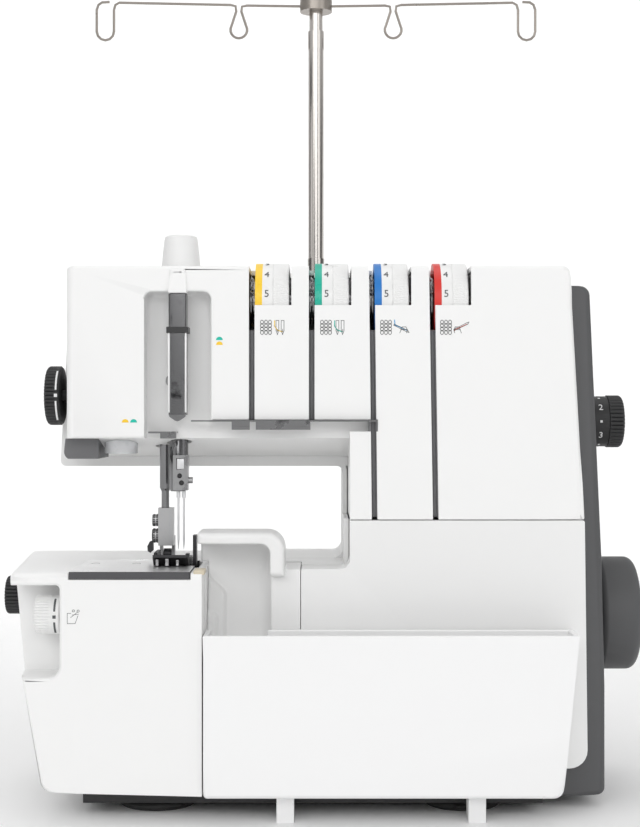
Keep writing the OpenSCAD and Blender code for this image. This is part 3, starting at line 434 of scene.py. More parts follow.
def dress_nodes():
    """Every carried-over CAD node gets its material, softened edges and smooth shading."""
    for name, obj in NODES.items():
        obj.data.materials.clear()
        obj.data.materials.append(NODE_LOOKS[name])
        weld = obj.modifiers.new("weld", "WELD")
        weld.merge_threshold = 1e-6
        if name in SOFT_EDGES:
            soft = obj.modifiers.new("soft_edges", "BEVEL")
            soft.width = SOFT_EDGES[name] * MM
            soft.segments = 3
            soft.limit_method = "ANGLE"
            soft.angle_limit = math.radians(38)
            soft.harden_normals = True
            soft.use_clamp_overlap = name != "front_cover"


# -------------------------------------------------------------- soft shells

def on_plane(axis, at, tol=0.15):
    """A test for edges that lie in a plane across an axis, in millimetres."""
    return lambda a, b: abs(a[axis] - at) < tol and abs(b[axis] - at) < tol


def within(axis, low, high):
    """A test for edges that lie between two heights on an axis, in millimetres."""
    return lambda a, b: low <= a[axis] <= high and low <= b[axis] <= high


def both(*tests):
    return lambda a, b: all(test(a, b) for test in tests)


def soften(node, rules, fine, mat, body="body", merge=0.0):
    """A copy of a CAD node with chosen edges rounded. A rule is (sign, test, radius in mm, steps): sign 1
    takes outside edges and -1 inside corners. Points closer together than merge, in mm, become one first."""
    source = NODES[node]
    bm = bmesh.new()
    bm.from_mesh(source.data)
    bm.transform(source.matrix_world)
    bmesh.ops.remove_doubles(bm, verts=bm.verts, dist=2e-6)
    bmesh.ops.dissolve_limit(bm, angle_limit=math.radians(0.5), verts=bm.verts, edges=bm.edges)
    if merge:
        bmesh.ops.remove_doubles(bm, verts=bm.verts, dist=merge * MM)
    for sign, test, radius, steps in rules:
        chosen = []
        for edge in bm.edges:
            if len(edge.link_faces) == 2 and sign * edge.calc_face_angle_signed(0) > math.radians(28):
                if test(*[v.co / MM for v in edge.verts]):
                    chosen.append(edge)
        if chosen:
            bmesh.ops.bevel(bm, geom=chosen, offset=radius * MM, segments=steps, affect="EDGES",
                            profile=0.5, clamp_overlap=False)
    bmesh.ops.triangulate(bm, faces=[f for f in bm.faces if len(f.verts) > 4], ngon_method="EAR_CLIP")
    mesh = bpy.data.meshes.new(node + "_moulded")
    bm.to_mesh(mesh)
    bm.free()
    mesh.materials.append(mat)
    obj = bpy.data.objects.new(mesh.name, mesh)
    bpy.context.scene.collection.objects.link(obj)
    smooth_by_angle(obj, 33)
    if fine:
        edge = obj.modifiers.new("fine_edges", "BEVEL")
        edge.width = fine * MM
        edge.segments = 2
        edge.limit_method = "ANGLE"
        edge.angle_limit = math.radians(36)
    flat = obj.modifiers.new("flat_faces", "WEIGHTED_NORMAL")
    flat.keep_sharp = True
    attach(obj, body)
    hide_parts(node)
    return obj


def covers():
    """The moulded shells, with the rounded outer corners that CAD leaves sharp."""
    x, y, z = 0, 1, 2
    lo, hi = box_mm("front_cover")
    face = lo.y + 1.6                       # the ridge over the channel stands 1.6 mm proud
    scoop_x = both(within(x, -88.8, -54), within(z, 197.4, 262))
    soften("front_cover", [
        (-1, both(on_plane(y, face + 12), scoop_x), 3.2, 6),
        (1, lambda a, b: min(a.z, b.z) > 270 and (
            max(a.y, b.y) < face + 0.2 or (max(a.x, b.x) < -121 and min(a.z, b.z) > 274.2)), 2.2, 6),
        (1, both(on_plane(y, face), within(x, 124, 134)), 2.4, 6),
        (1, both(on_plane(y, face), within(x, -200, 15.2), within(z, 187, 189)), 1.6, 5),
        (1, both(on_plane(y, face), scoop_x), 1.2, 5),
    ], 0.45, WHITE, merge=0.24)

    lo, hi = box_mm("left_cover")
    soften("left_cover", [
        (1, both(on_plane(y, lo.y), within(x, -200, -57.6), within(z, 0, 118)), 1.6, 5),
        (1, both(on_plane(z, hi.z),
                 lambda a, b: max(a.y, b.y) < lo.y + 0.2 or max(a.x, b.x) < -148), 1.7, 6),
    ], 0.4, WHITE)

    lo, hi = box_mm("waste_bin")
    soften("waste_bin", [(1, both(on_plane(y, lo.y), within(z, 10, hi.z - 1)), 2.0, 6),
                         (1, both(on_plane(z, hi.z), within(y, lo.y - 1, hi.y + 1)), 0.7, 4)], 0.3,
           BIN_WHITE, "bin", merge=0.3)

    lo, hi = box_mm("rear_cover")
    soften("rear_cover", [(1, both(on_plane(y, hi.y), within(x, lo.x - 1, hi.x - 1)), 3.0, 6)], 0.5, WHITE)

    lo, hi = box_mm("right_cover")
    soften("right_cover", [(1, both(on_plane(y, lo.y), within(x, 117, hi.x + 1)), 2.4, 6),
                           (1, both(on_plane(y, hi.y), within(x, 117, hi.x + 1)), 3.0, 6)], 0.5, DARK,
           "body")

    lo, hi = box_mm("spool_tray")
    soften("spool_tray", [(1, on_plane(z, lo.z), 2.4, 5)], 0.4, WHITE)


# --------------------------------------------------------- cast in a field

def meet(a, b, r):
    """Intersection of two distance fields with the edge between them rounded by r."""
    return np.minimum(-r, np.maximum(a, b)) + np.hypot(np.maximum(a + r, 0), np.maximum(b + r, 0))


def fuse(a, b, r):
    """Union of two distance fields with the inside corner between them rounded by r."""
    return -meet(-a, -b, r)


def block(x, y, z, lo, hi):
    """Distance-like field of a sharp box."""
    sides = [np.maximum(lo[i] - v, v - hi[i]) for i, v in enumerate((x, y, z))]
    return np.maximum(np.maximum(sides[0], sides[1]), sides[2])


def cast(name, lo, hi, step, shape, mat, body, replaced):
    """The surface where shape(x, y, z), a field in millimetres, is zero, as a smooth mesh."""
    pad = 3 * step
    axes = [np.arange(lo[i] - pad, hi[i] + pad, step) for i in range(3)]
    field = shape(*np.meshgrid(*axes, indexing="ij"))
    grid = openvdb.FloatGrid(background=pad)
    grid.copyFromArray(np.clip(field, -pad, pad).astype(np.float32))
    points, quads = grid.convertToQuads(isovalue=0.0)
    start = np.array([a[0] for a in axes])
    points = (points * step + start) * MM
    mesh = bpy.data.meshes.new(name)
    mesh.from_pydata(points.tolist(), [], quads.tolist())
    mesh.validate()
    mesh.materials.append(mat)
    obj = bpy.data.objects.new(name, mesh)
    bpy.context.scene.collection.objects.link(obj)
    bm = bmesh.new()
    bm.from_mesh(mesh)
    bmesh.ops.recalc_face_normals(bm, faces=bm.faces)
    bmesh.ops.smooth_vert(bm, verts=bm.verts, factor=0.5, use_axis_x=True, use_axis_y=True, use_axis_z=True)
    bmesh.ops.dissolve_limit(bm, angle_limit=math.radians(1.2), verts=bm.verts, edges=bm.edges)
    bmesh.ops.triangulate(bm, faces=bm.faces)
    bm.to_mesh(mesh)
    bm.free()
    smooth_by_angle(obj, 60)
    flat = obj.modifiers.new("flat_faces", "WEIGHTED_NORMAL")
    flat.keep_sharp = True
    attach(obj, body)
    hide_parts(*replaced)
    return obj


def chute():
    """The hood and the concave chute that leads trimmings down to the bin."""
    lo, hi = box_mm("waste_chute")
    bed = box_mm("left_cover")[1]
    left = bed.x + 0.3                      # the chute's left side, beside the bed

    def shape(x, y, z):
        hood = meet(meet(x + 17.6, z - hi.z, 9.2), np.maximum(119.6 - z, left - x), 0.6)
        over_bed = meet(z - hi.z, np.maximum(lo.x - x, np.maximum(x + 50, bed.z + 1.8 - z)), 0.6)
        hood = meet(np.minimum(hood, over_bed), np.maximum(lo.y - y, y + 86), 2.6)
        body = block(x, y, z, (left, FACE, lo.z), (hi.x, hi.y, 122.7))
        solid = fuse(hood, body, 1.2)
        back = -107 + 16 * (1 - np.clip((132 - z) / 64, 0, 1) ** 2)
        first = meet(x + 47.5, z - 109.5 + 0.9 * (x + 47.5), 2.0)
        second = meet(x + 51.5, z - 99 + 0.35 * (x + 51.5), 2.5)
        back = back - 2.6 * np.clip(-first / 1.6, 0, 1) - 2.4 * np.clip(-second / 2.0, 0, 1)
        hollow = meet(meet(0.9 * (y - back), x + 24.8, 6.5), z - 135.8, 5)
        solid = meet(solid, -hollow, 1.1)
        slope = np.maximum(-104.5, -104.5 + (z - 68) * 0.33)
        under = np.maximum(np.maximum(slope - y, np.maximum(-60 - x, x + 24.8)), z - 118)
        panel = block(x, y, z, (-22.5, FACE + 2.5, 15), (-12.3, -60, 120))
        return np.maximum(np.maximum(solid, -under), -panel)

    cast("waste_chute_moulded", lo, hi, 0.5, shape, WHITE, "body", ["waste_chute"])
    seal = rounded_box(((bed.x + 0.04) * MM, -109.5 * MM, 60 * MM),
                       ((bed.x + 0.26) * MM, -90.5 * MM, 120.5 * MM), 0.05 * MM)
    put("chute_side_seal", *seal, WHITE, "body", (), "white", 40)


# ------------------------------------------------------------ small hardware

def ring_y(centre, big, small, n=28, m=10):
    """A wire ring lying in the X-Z plane."""
    verts = []
    for a in [2 * math.pi * k / n for k in range(n)]:
        for b in [2 * math.pi * j / m for j in range(m)]:
            out = big + small * math.cos(b)
            verts.append((centre[0] + out * math.cos(a), centre[1] + small * math.sin(b),
                          centre[2] + out * math.sin(a)))
    faces = [(i * m + j, i * m + (j + 1) % m, (i + 1) % n * m + (j + 1) % m, (i + 1) % n * m + j)
             for i in range(n) for j in range(m)]
    return verts, faces


def wire(path, r, sides=10):
    """A round wire through points, closed at both ends."""
    points = [Vector(p) for p in path]
    verts = []
    for i, p in enumerate(points):
        along = (points[min(i + 1, len(points) - 1)] - points[max(i - 1, 0)]).normalized()
        side = along.cross(Vector((0.13, 0.31, 0.94))).normalized()
        up = along.cross(side)
        for k in range(sides):
            a = 2 * math.pi * k / sides
            verts.append(tuple(p + side * (r * math.cos(a)) + up * (r * math.sin(a))))
    return verts, skin(len(points), sides)


def screw_head(centre, r, tall, n=32):
    """A cheese head that faces the operator, in millimetres."""
    cx, cy, cz = centre
    verts = []
    for d, rr in ((0, r), (tall - 0.35, r), (tall, r - 0.35)):
        for k in range(n):
            a = 2 * math.pi * k / n
            verts.append(((cx + rr * math.cos(a)) * MM, (cy - d) * MM, (cz + rr * math.sin(a)) * MM))
    return verts, skin(3, n)


def slot_x(i):
    """Left and right sides of the i-th thread slot, in metres."""
    right = node_box(f"dial_ring_{RINGS[i]}")[0].x - 0.1 * MM
    return right - 2.9 * MM, right


def slot_strips():
    """Grey guide strips a little behind the front face, with raised lips, in the four thread slots."""
    top, head = 242.4, 279.5                # the strips' top, and the height that their lean starts from
    section = [(0.3, 2.7), (0.3, 3.6), (0.9, 4.3), (2.0, 4.3), (2.6, 3.6), (2.6, 2.7), (3.9, 2.7),
               (3.9, 5.6), (-1.0, 5.6), (-1.0, 2.7)]
    parts = []
    for i in range(4):
        over_arm = i < 2
        bottom = 197.5 if over_arm else 148.6
        lean = 0 if over_arm else 0.3 + 0.6 * i
        full = head - (196.5 if over_arm else 146.5)
        verts = []
        for z in (bottom, top):
            shift = slot_x(i)[0] + lean * (head - z) / full * MM
            verts += [(shift + u * MM, (FACE + v) * MM, z * MM) for u, v in section]
        parts.append((verts, skin(2, len(section))))
    put("thread_slot_strips", *join(*parts), SLOT_GREY, "body", ["thread_channels"], "grey", 30)


def slot_hardware():
    """Bright curls of wire beside each dial, at the top of the thread slots, and black guard plates."""
    curls, guards = [], []
    bent = [(0.8, 5.1, 260.2), (-0.7, 5.2, 262.6), (0.8, 5.4, 266), (-0.4, 5.5, 269.4)]
    for i in range(4):
        left, right = slot_x(i)
        x = (left + right) / 2
        for z, big in ((262.2, 0.95), (264.9, 0.8), (267.4, 0.95)):
            curls.append(ring_y((x, (FACE + 5.4) * MM, z * MM), big * MM, 0.28 * MM))
        curls.append(wire([(x + u * MM, (FACE + v) * MM, z * MM) for u, v, z in bent], 0.3 * MM))
        guards.append(rounded_box((left - 1.1 * MM, (FACE + 6.1) * MM, 239 * MM),
                                  (left - 0.2 * MM, (FACE + 26) * MM, 271.5 * MM), 0.2 * MM))
    put("tension_wire_curls", *join(*curls), STEEL, "body", (), "steel", 40)
    put("tension_guard_plates", *join(*guards), BLACK, "body", (), "black", 40)


def folded_channel(x0, x1, y0, y1, r, t, steps=8):
    """The X-Y outline of a folded sheet channel that is open at the back."""
    turns = [math.pi / 2 * k / steps for k in range(steps + 1)]
    outer = [(x0, y1)]
    for cx, start in ((x0 + r, math.pi), (x1 - r, 1.5 * math.pi)):
        outer += [(cx + r * math.cos(start + a), y0 + r + r * math.sin(start + a)) for a in turns]
    inner = []
    q = r - t
    for cx, start in ((x1 - r, 0.0), (x0 + r, 1.5 * math.pi)):
        inner += [(cx + q * math.cos(start - a), y0 + r + q * math.sin(start - a)) for a in turns]
    return outer + [(x1, y1), (x1 - t, y1)] + inner + [(x0 + t, y1)]


def sheet_prism(outline, z0, z1):
    """A sheet's X-Y outline drawn up from z0 to z1. The outline goes along the sheet's outside and back
    along its inside with as many points, so strips between the two sides close the ends."""
    n = len(outline)
    verts = [(x, y, z) for z in (z0, z1) for x, y in outline]
    faces = [(k, (k + 1) % n, n + (k + 1) % n, n + k) for k in range(n)]
    for base in (0, n):
        faces += [(base + k, base + k + 1, base + n - 2 - k, base + n - 1 - k) for k in range(n // 2 - 1)]
    return verts, faces


def take_up_channel():
    """The folded channel that covers the take-up levers, with its tip and side screw, and thin bright strips
    along both edges that are painted highlights.
    """
    lo, hi = node_box("take_up_channel")
    shell = sheet_prism(folded_channel(lo.x, hi.x, lo.y, lo.y + 8.6 * MM, 1.6 * MM, 0.8 * MM), lo.z, hi.z)
    rear = rounded_box((lo.x + 0.9 * MM, lo.y + 8 * MM, lo.z + 6 * MM),
                       (hi.x - 0.9 * MM, lo.y + 8.8 * MM, hi.z - 4 * MM), 0.2 * MM)
    put("take_up_channel_folded", *join(shell, rear), CHANNEL, "body", ["take_up_channel"], "sheet", 30)
    # Painted highlights: bright metal strips along the channel's two folded edges.
    proud, wide = 0.12 * MM, 0.85 * MM
    highlight_strips = [rounded_box((x, lo.y - proud, lo.z + 1.2 * MM), (x + wide, lo.y + 0.5 * MM, hi.z - 18 * MM),
                        0.05 * MM) for x in (lo.x - proud, hi.x + proud - wide)]
    put("take_up_channel_highlight_strips", *join(*highlight_strips), PAINTED_HIGHLIGHT_METAL, "body", (), "sheet", 40)
    tip = [(-4.4, 0), (-3.9, -1.4), (-1.2, -3.2), (0, -3.6), (1.2, -3.2), (3.9, -1.4), (4.4, 0)]
    cx = (lo.x + hi.x) / 2
    points = [(cx + u * MM, lo.z + (0.4 + v) * MM) for u, v in tip]
    put("take_up_channel_tip", *plate(points, lo.y + 0.25 * MM, lo.y + 1.2 * MM), SHEET, "body", (),
        "sheet", 25)
    x = lo.x + 0.05 * MM
    profile = [(x - d * MM, r * MM) for d, r in ((0, 0.9), (0, 2.7), (0.7, 2.6), (1.5, 1.9), (1.9, 0.9))]
    put("take_up_channel_screw", *turned(profile, (0, (FACE + 4.5) * MM, 217 * MM), 32), SATIN_STEEL,
        "body", (), "steel", 40)


def bed_tongue():
    """The small ivory tongue at the needle plate's front right corner."""
    put("bed_tongue", *rounded_box((-61.6 * MM, (BED_FACE + 0.4) * MM, 121.9 * MM),
                                   (-56.2 * MM, (BED_FACE + 12.5) * MM, 124.3 * MM), 0.5 * MM), IVORY,
        "body", (), "white", 40)


def needle_clamp_fittings():
    """The sleeve over the needle bar, the clamp's two screws and its window."""
    lo, hi = node_box("needle_clamp")
    bar_lo, bar_hi = node_box("needle_bar")
    bar = (bar_lo + bar_hi) / 2
    tall = hi.z + 9.6 * MM - lo.z
    profile = [(0, 0.5), (0, 3.9), (0.5, 4.5), (9.5, 4.5), (10, 4.0), (10, 0.5)]
    verts, faces = turned([(x * MM, r * MM) for x, r in profile], (0, 0, 0), 48)
    sleeve = [(bar.x - 1.6 * MM + b, bar.y + 0.9 * MM + c, lo.z - 0.6 * MM + a * tall / (10 * MM))
              for a, b, c in verts]
    put("needle_bar_sleeve", sleeve, faces, BAR_STEEL, "needle_unit", (), "steel", 40)
    screws = [screw_head((bar.x / MM + 0.5 * u, lo.y / MM + 0.9, lo.z / MM + 5.6 - 1.8 * u), 1.25, 0.5)
              for u in (-1, 1)]
    put("needle_clamp_screws", *join(*screws), BLACK, "needle_unit", (), "black", 40)
    window = rounded_box((bar.x - 1.9 * MM, lo.y + 0.55 * MM, lo.z + 10.8 * MM),
                         (bar.x + 1.9 * MM, lo.y + 1.1 * MM, hi.z - 1.8 * MM), 0.2 * MM)
    put("needle_clamp_window", *window, CLAMP_BRIGHT, "needle_unit", (), "steel", 40)


def presser_foot_fittings():
    """The foot's bright toes, and the knurled knob, screw and release lever beside its shank."""
    lo = node_box("presser_foot")[0]
    toes = [rounded_box((x * MM, lo.y - 0.6 * MM, lo.z + a * MM),
                        ((x + w) * MM, lo.y + 1.4 * MM, lo.z + b * MM), 0.3 * MM)
            for x, w, a, b in ((-82.4, 1.5, 0.4, 3.6), (-77.6, 1.8, 0.4, 4.0), (-72.2, 1.4, 0.4, 3.4))]
    put("presser_foot_toes", *join(*toes), SATIN_STEEL, "foot", (), "steel", 40)
    x0 = node_box("foot_shank")[0].x
    bar_lo, bar_hi = node_box("presser_bar")
    y = (bar_lo.y + bar_hi.y) / 2
    for name, z, r, back in (("foot_lever_knob", 137, 3.75, 3.2), ("foot_clamp_screw", 145, 3.15, 3.1)):
        steps = [(back, 1), (back, r), (2.2, r), (1.8, r - 0.5), (1.4, r), (0.4, r), (-0.1, r - 0.5),
                 (-0.1, 0.6)]
        knurl = grip(20, 0.35 * MM, x0 - MM, x0 + 4 * MM, 0.3 * MM)
        put(name, *turned([(x0 + u * MM, v * MM) for u, v in steps], (0, y, z * MM), 160, knurl), DARK_STEEL,
            "presser_unit", (), "black", 40)
    lever = [(-6.2, 131.6), (-5.0, 134.0), (-3.2, 134.6), (-3.2, 129.4), (-4.6, 128.2), (-6.0, 129.0)]
    points = [(x0 + (3.7 + u) * MM, v * MM) for u, v in lever]
    put("foot_release_lever", *plate(points, y - 2.6 * MM, y + 1.2 * MM), DARK_STEEL, "presser_unit", (),
        "black", 30)


# -------------------------------------------------------------- pictograms

def strokes(lines, x, z, face, wide):
    """Printed strokes on a face that looks at the operator. Lines are lists of (right, up) points in mm."""
    parts = []
    for line in lines:
        for (u0, v0), (u1, v1) in zip(line, line[1:]):
            long = math.hypot(u1 - u0, v1 - v0) or 1
            ex, ez = (u1 - u0) / long * wide / 2, (v1 - v0) / long * wide / 2
            corners = [(u0 - ex - ez, v0 - ez + ex), (u0 - ex + ez, v0 - ez - ex),
                       (u1 + ex + ez, v1 + ez - ex), (u1 + ex - ez, v1 + ez + ex)]
            parts.append(plate([((x + u) * MM, (z + v) * MM) for u, v in corners],
                               (face - 0.05) * MM, (face + 0.12) * MM))
    return join(*parts)


def moved(lines, right, up=0, mirror=1, flip=1):
    """Lines mirrored left to right or flipped upside down, then moved."""
    return [[(right + mirror * u, up + flip * v) for u, v in line] for line in lines]


def oval(right, up, wide, tall, n):
    """A closed oval as a line of n steps, drawn clockwise from its top."""
    turns = [2 * math.pi * k / n for k in range(n + 1)]
    return [(right + wide * math.sin(a), up + tall * math.cos(a)) for a in turns]


def pictograms():
    """Small threading pictograms under each dial and a scissors pictogram beside the cutting width dial."""
    pitch = 1.7                             # from one thread loop to the next
    stitch = [oval(u, pitch * (k + 0.5) - 3.4, 0.75, 0.62 * pitch, 12)
              for u in (-1.7, 0.3, 2.3) for k in range(4)]
    needle = [[(-0.7, 3.4), (-0.7, -1.6), (0, -3.6), (0.7, -1.6), (0.7, 3.4), (-0.7, 3.4)],
              [(0, -1.0), (0, -2.2)]]
    blade = [[(-3.6, 1.6), (3.2, -1.6), (3.8, -2.6), (2.6, -2.2), (-3.8, 1.0), (-3.6, 1.6)]]
    shoe = [[(-0.4, -1.4), (0.8, 1.6), (2.6, 1.6), (3.4, 0.2), (3.0, -1.4)], [(0.2, 0.3), (3.0, 0.3)]]
    for i, ink in enumerate((INK_YELLOW, INK_GREEN, INK_BLUE, INK_RED)):
        dark = moved(stitch, 5.4)
        if i < 2:
            dark += moved(needle, 14.0) + moved(needle, 11.4)
            thread = [[(10.0, 3.2), (10.0, 0.6), (11.4, -1.4), (13.8, -2.2)]]
        else:
            flip = 1 if i == 2 else -1
            dark += moved(blade, 13.4, flip=flip) + moved(shoe, 13.0, -1.4, mirror=flip)
            thread = [[(10.0, 2.6 * flip + 1), (10.2, 1.2 * flip), (16.0, -1.4 * flip)]]
        x, z, ring = slot_x(i)[1] / MM, 243.6, RINGS[i]
        put(f"pictogram_{ring}", *strokes(dark, x, z, FACE, 0.3), INK_GREY, "body", (), "black", 30)
        put(f"pictogram_thread_{ring}", *strokes(thread, x, z, FACE, 0.45), ink, "body", (), ring, 30)
    page = [[(-2.6, 1.8), (-2.6, -3.2), (1.2, -3.2), (2.6, 0.6)], [(-2.6, 1.8), (-0.8, 1.8)],
            [(-0.9, -0.2), (2.4, 2.4)], [(-0.2, 1.0), (2.9, 1.4)]]
    page += [[(c + 0.55 * math.cos(a), d + 0.55 * math.sin(a)) for a in [math.pi / 5 * k for k in range(11)]]
             for c, d in ((0.4, 3.0), (2.7, 2.9))]
    put("pictogram_cutting_width", *strokes(page, -120.2, 101.6, BED_FACE, 0.25), INK_GREY, "body", (),
        "black", 30)


# ------------------------------------------------------------ tension dials

def tension_dials():
    """The four ribbed drums, each with a bore for its spindle and the digits 0 to 9."""
    steps, bore = 720, 4.1 * MM
    for i, ring in enumerate(RINGS):
        body = f"tension_{i + 1}"
        x0, x1, c, r = knob_frame(f"tension_dial_{i + 1}")
        band = x0 + 5.2 * MM                # the plain band for the digits ends here
        ribs = band + 0.55 * MM
        rim = x1 - 0.9 * MM
        profile = [(x0, bore), (x0, r), (x0 + 0.01 * MM, r), (band, r), (band + 0.05 * MM, r - 0.35 * MM),
                   (band + 0.5 * MM, r - 0.35 * MM), (ribs, r)]
        profile += [(band + (rim - band) * t, r) for t in (0.15, 0.3, 0.6, 0.9)]
        profile += around(rim, x1, r)
        profile += [(x1, r - 3 * MM), (x1 - 0.8 * MM, r - 4 * MM), (x1 - 0.8 * MM, bore)]
        verts, faces = turned(profile, c, steps, grip(120, 0.16 * MM, ribs, x1 + 2 * MM, 0.6 * MM))
        last = (len(profile) - 1) * steps
        faces = faces[:-2] + [(last + k, last + (k + 1) % steps, (k + 1) % steps, k) for k in range(steps)]
        put(f"tension_drum_{ring}", verts, faces, WHITE_SOFT, body, [f"tension_dial_{i + 1}"], "white", 32)
        marks = [curved_print(str(d), 5.2 * MM, x0 + 2.3 * MM, r, 9 + 32 * (5 - d), c) for d in range(10)]
        put(f"tension_scale_{ring}", *join(*marks), INK_DARK, body, (), "black", 60)


# ----------------------------------------------------------- knobs and wheel

def stitch_length_knob():
    """Black knob with a ribbed rim; the digits 1 to 4 stand on its smooth collar."""
    lo, x1, c, r = knob_frame("stitch_length_dial")
    x0 = x1 - 18.4 * MM
    grip_x = x1 - 8 * MM
    base = r - 0.5 * MM
    profile = [(lo, 3 * MM), (x0, 3 * MM), (x0, base - 0.8 * MM), (x0 + 0.8 * MM, base),
               (grip_x - 0.3 * MM, base), (grip_x, r)]
    profile += [(grip_x + t * MM, r) for t in (0.8, 2, 4)] + around(x1 - 2.2 * MM, x1, r)
    profile += [(x1, r - 4 * MM), (x1 - 0.5 * MM, r - 4.6 * MM), (x1 - 0.5 * MM, 1 * MM)]
    put("stitch_length_knob", *turned(profile, c, 320, grip(40, 0.7 * MM, grip_x, x1 + MM, 0.7 * MM)), BLACK,
        "length_dial", ["stitch_length_dial"], "black")
    marks = []
    for d in (1, 2, 3, 4):
        a = 33 + 66 * (2 - d)
        marks.append(curved_print(str(d), 5 * MM, x0 + 5.6 * MM, base, a, c))
        if d < 4:
            marks.append(bar_on(x0 + 5.0 * MM, x0 + 6.2 * MM, base, a - 33, 1.2 * MM, c))
    put("stitch_length_scale", *join(*marks), INK_WHITE, "length_dial", (), "white", 60)


def dial_bars(x, r, c, long, half_thick, dot, angle):
    """A dial's two long bars with a dot between them; x is the middle of the marks, and sizes are in mm."""
    bars = ((angle, long, half_thick), (0, dot, 0.8), (-angle, long, half_thick))
    return join(*[bar_on(x - w * MM, x + w * MM, r, a, h * MM, c) for a, h, w in bars])


def foot_pressure_knob():
    """Black ribbed knob on the arm's left side."""
    x0, x1, c, r = knob_frame("pressure_dial")
    xb = x0 + 6.6 * MM
    back = xb + 1.2 * MM
    profile = [(x1, 3 * MM), (back, 3 * MM), (back, r - 0.8 * MM), (back - 0.8 * MM, r), (xb, r)]
    profile += [(xb - t * MM, r) for t in (1.4, 2.6, 3.8)] + around(x0 + 2 * MM, x0, r)
    profile += [(x0, r - 4 * MM), (x0 + 0.6 * MM, r - 4.8 * MM), (x0 + 0.6 * MM, MM)]
    put("foot_pressure_knob", *turned(profile, c, 384, grip(48, 0.7 * MM, x0 - MM, xb - 0.4 * MM, 0.7 * MM)),
        BLACK, "force_dial", ["pressure_dial"], "black")
    put("foot_pressure_marks", *dial_bars(back - 1.4 * MM, r, c, 12, 0.45, 1.7, 33), INK_WHITE, "force_dial",
        (), "white", 60)


def cutting_width_knob():
    """White ribbed knob in the recess at the bed's left side."""
    x0, x1, c, r = knob_frame("cutting_width_dial")
    xb = x0 + 12.8 * MM
    profile = [(x1, 3 * MM), (xb, 3 * MM), (xb, r - 0.5 * MM), (xb - 0.5 * MM, r), (xb - 4.8 * MM, r)]
    profile += [(xb - t * MM, r) for t in (5.3, 6.5, 9)] + around(x0 + 1.6 * MM, x0, r)
    profile += [(x0, r - 3 * MM), (x0 + 0.5 * MM, r - 3.6 * MM), (x0 + 0.5 * MM, MM)]
    put("cutting_width_knob", *turned(profile, c, 288, grip(36, 0.6 * MM, x0 - MM, xb - 4.8 * MM, 0.6 * MM)),
        WHITE_SOFT, "width_dial", ["cutting_width_dial"], "white")
    put("cutting_width_marks", *dial_bars(xb - 2.4 * MM, r, c, 7.6, 0.5, 1.6, 39), INK_DARK, "width_dial",
        (), "black", 60)


def knife_release_knob():
    """Small black knob at the bed's far left."""
    x0, x1, c, r = knob_frame("blade_knob")
    xb = x0 + 13.6 * MM
    collar = r - 1.2 * MM
    profile = [(x1, 4 * MM), (xb, 4 * MM), (xb, collar), (xb - 2.4 * MM, collar), (xb - 3 * MM, r)]
    profile += [(xb - t * MM, r) for t in (3.8, 6, 8, 10)] + around(x0 + 1.5 * MM, x0, r)
    profile += [(x0, r - 3 * MM), (x0 + 0.5 * MM, r - 3.8 * MM), (x0 + 0.5 * MM, MM)]
    put("knife_release_knob", *turned(profile, c, 288, grip(32, 0.75 * MM, x0 - MM, xb - 3 * MM, 0.7 * MM)),
        BLACK, "knife_knob", ["blade_knob"], "black")


def handwheel():
    """The dished handwheel, with a blind bore for the main shaft."""
    x0, x1, c, r = knob_frame("handwheel")
    n, bore, bore_end = 192, 6.02 * MM, 10.4 * MM
    profile = [(x0, bore), (x0, r - 3 * MM), (x0 + 1.4 * MM, r - 1.2 * MM), (x0 + 3.2 * MM, r)]
    profile += [(x0 + t * MM, r) for t in (3.8, 7, 11)] + around(x1 - 5 * MM, x1, r, 8)
    profile += [(x1, r - 8 * MM), (x1 - 1.4 * MM, r - 11 * MM), (x1 - 1.6 * MM, 7 * MM),
                (x1 - 0.8 * MM, 5.6 * MM), (x1 - 0.8 * MM, 0.5 * MM)]
    verts, faces = turned(profile, c, n)
    base = len(verts)
    verts += turned([(x0 + bore_end, bore), (x0 + bore_end, 0.4 * MM)], c, n)[0]
    faces = faces[:-2] + [faces[-1]]
    faces += [(k, (k + 1) % n, base + (k + 1) % n, base + k) for k in range(n)]
    faces += [(base + k, base + (k + 1) % n, base + n + (k + 1) % n, base + n + k) for k in range(n)]
    faces.append(tuple(range(base + n, base + 2 * n)))
    put("handwheel_turned", verts, faces, DARK, "drive", ["handwheel"], "dark", 40)


# ------------------------------------------------------------------- marks

def face_marks():
    """The small coloured half discs of the thread path, printed on the upper cover's front face."""
    r = 1.7 * MM
    turns = [math.pi * k / 12 for k in range(13)]
    inks = {"green": INK_GREEN, "yellow": INK_YELLOW}
    for tint, place, x, z in (("green", "upper", -50.3, 237.2), ("yellow", "upper", -50.3, 234.8),
                              ("yellow", "lower", -97.4, 196.0), ("green", "lower", -93.2, 196.0)):
        disc = [(x * MM + r * math.cos(a), z * MM + r * math.sin(a)) for a in turns]
        put(f"mark_{tint}_{place}", *plate(disc, (FACE + 0.12) * MM, (FACE - 0.08) * MM), inks[tint], "body",
            (), tint)


# ------------------------------------------------------- camera, light, floor

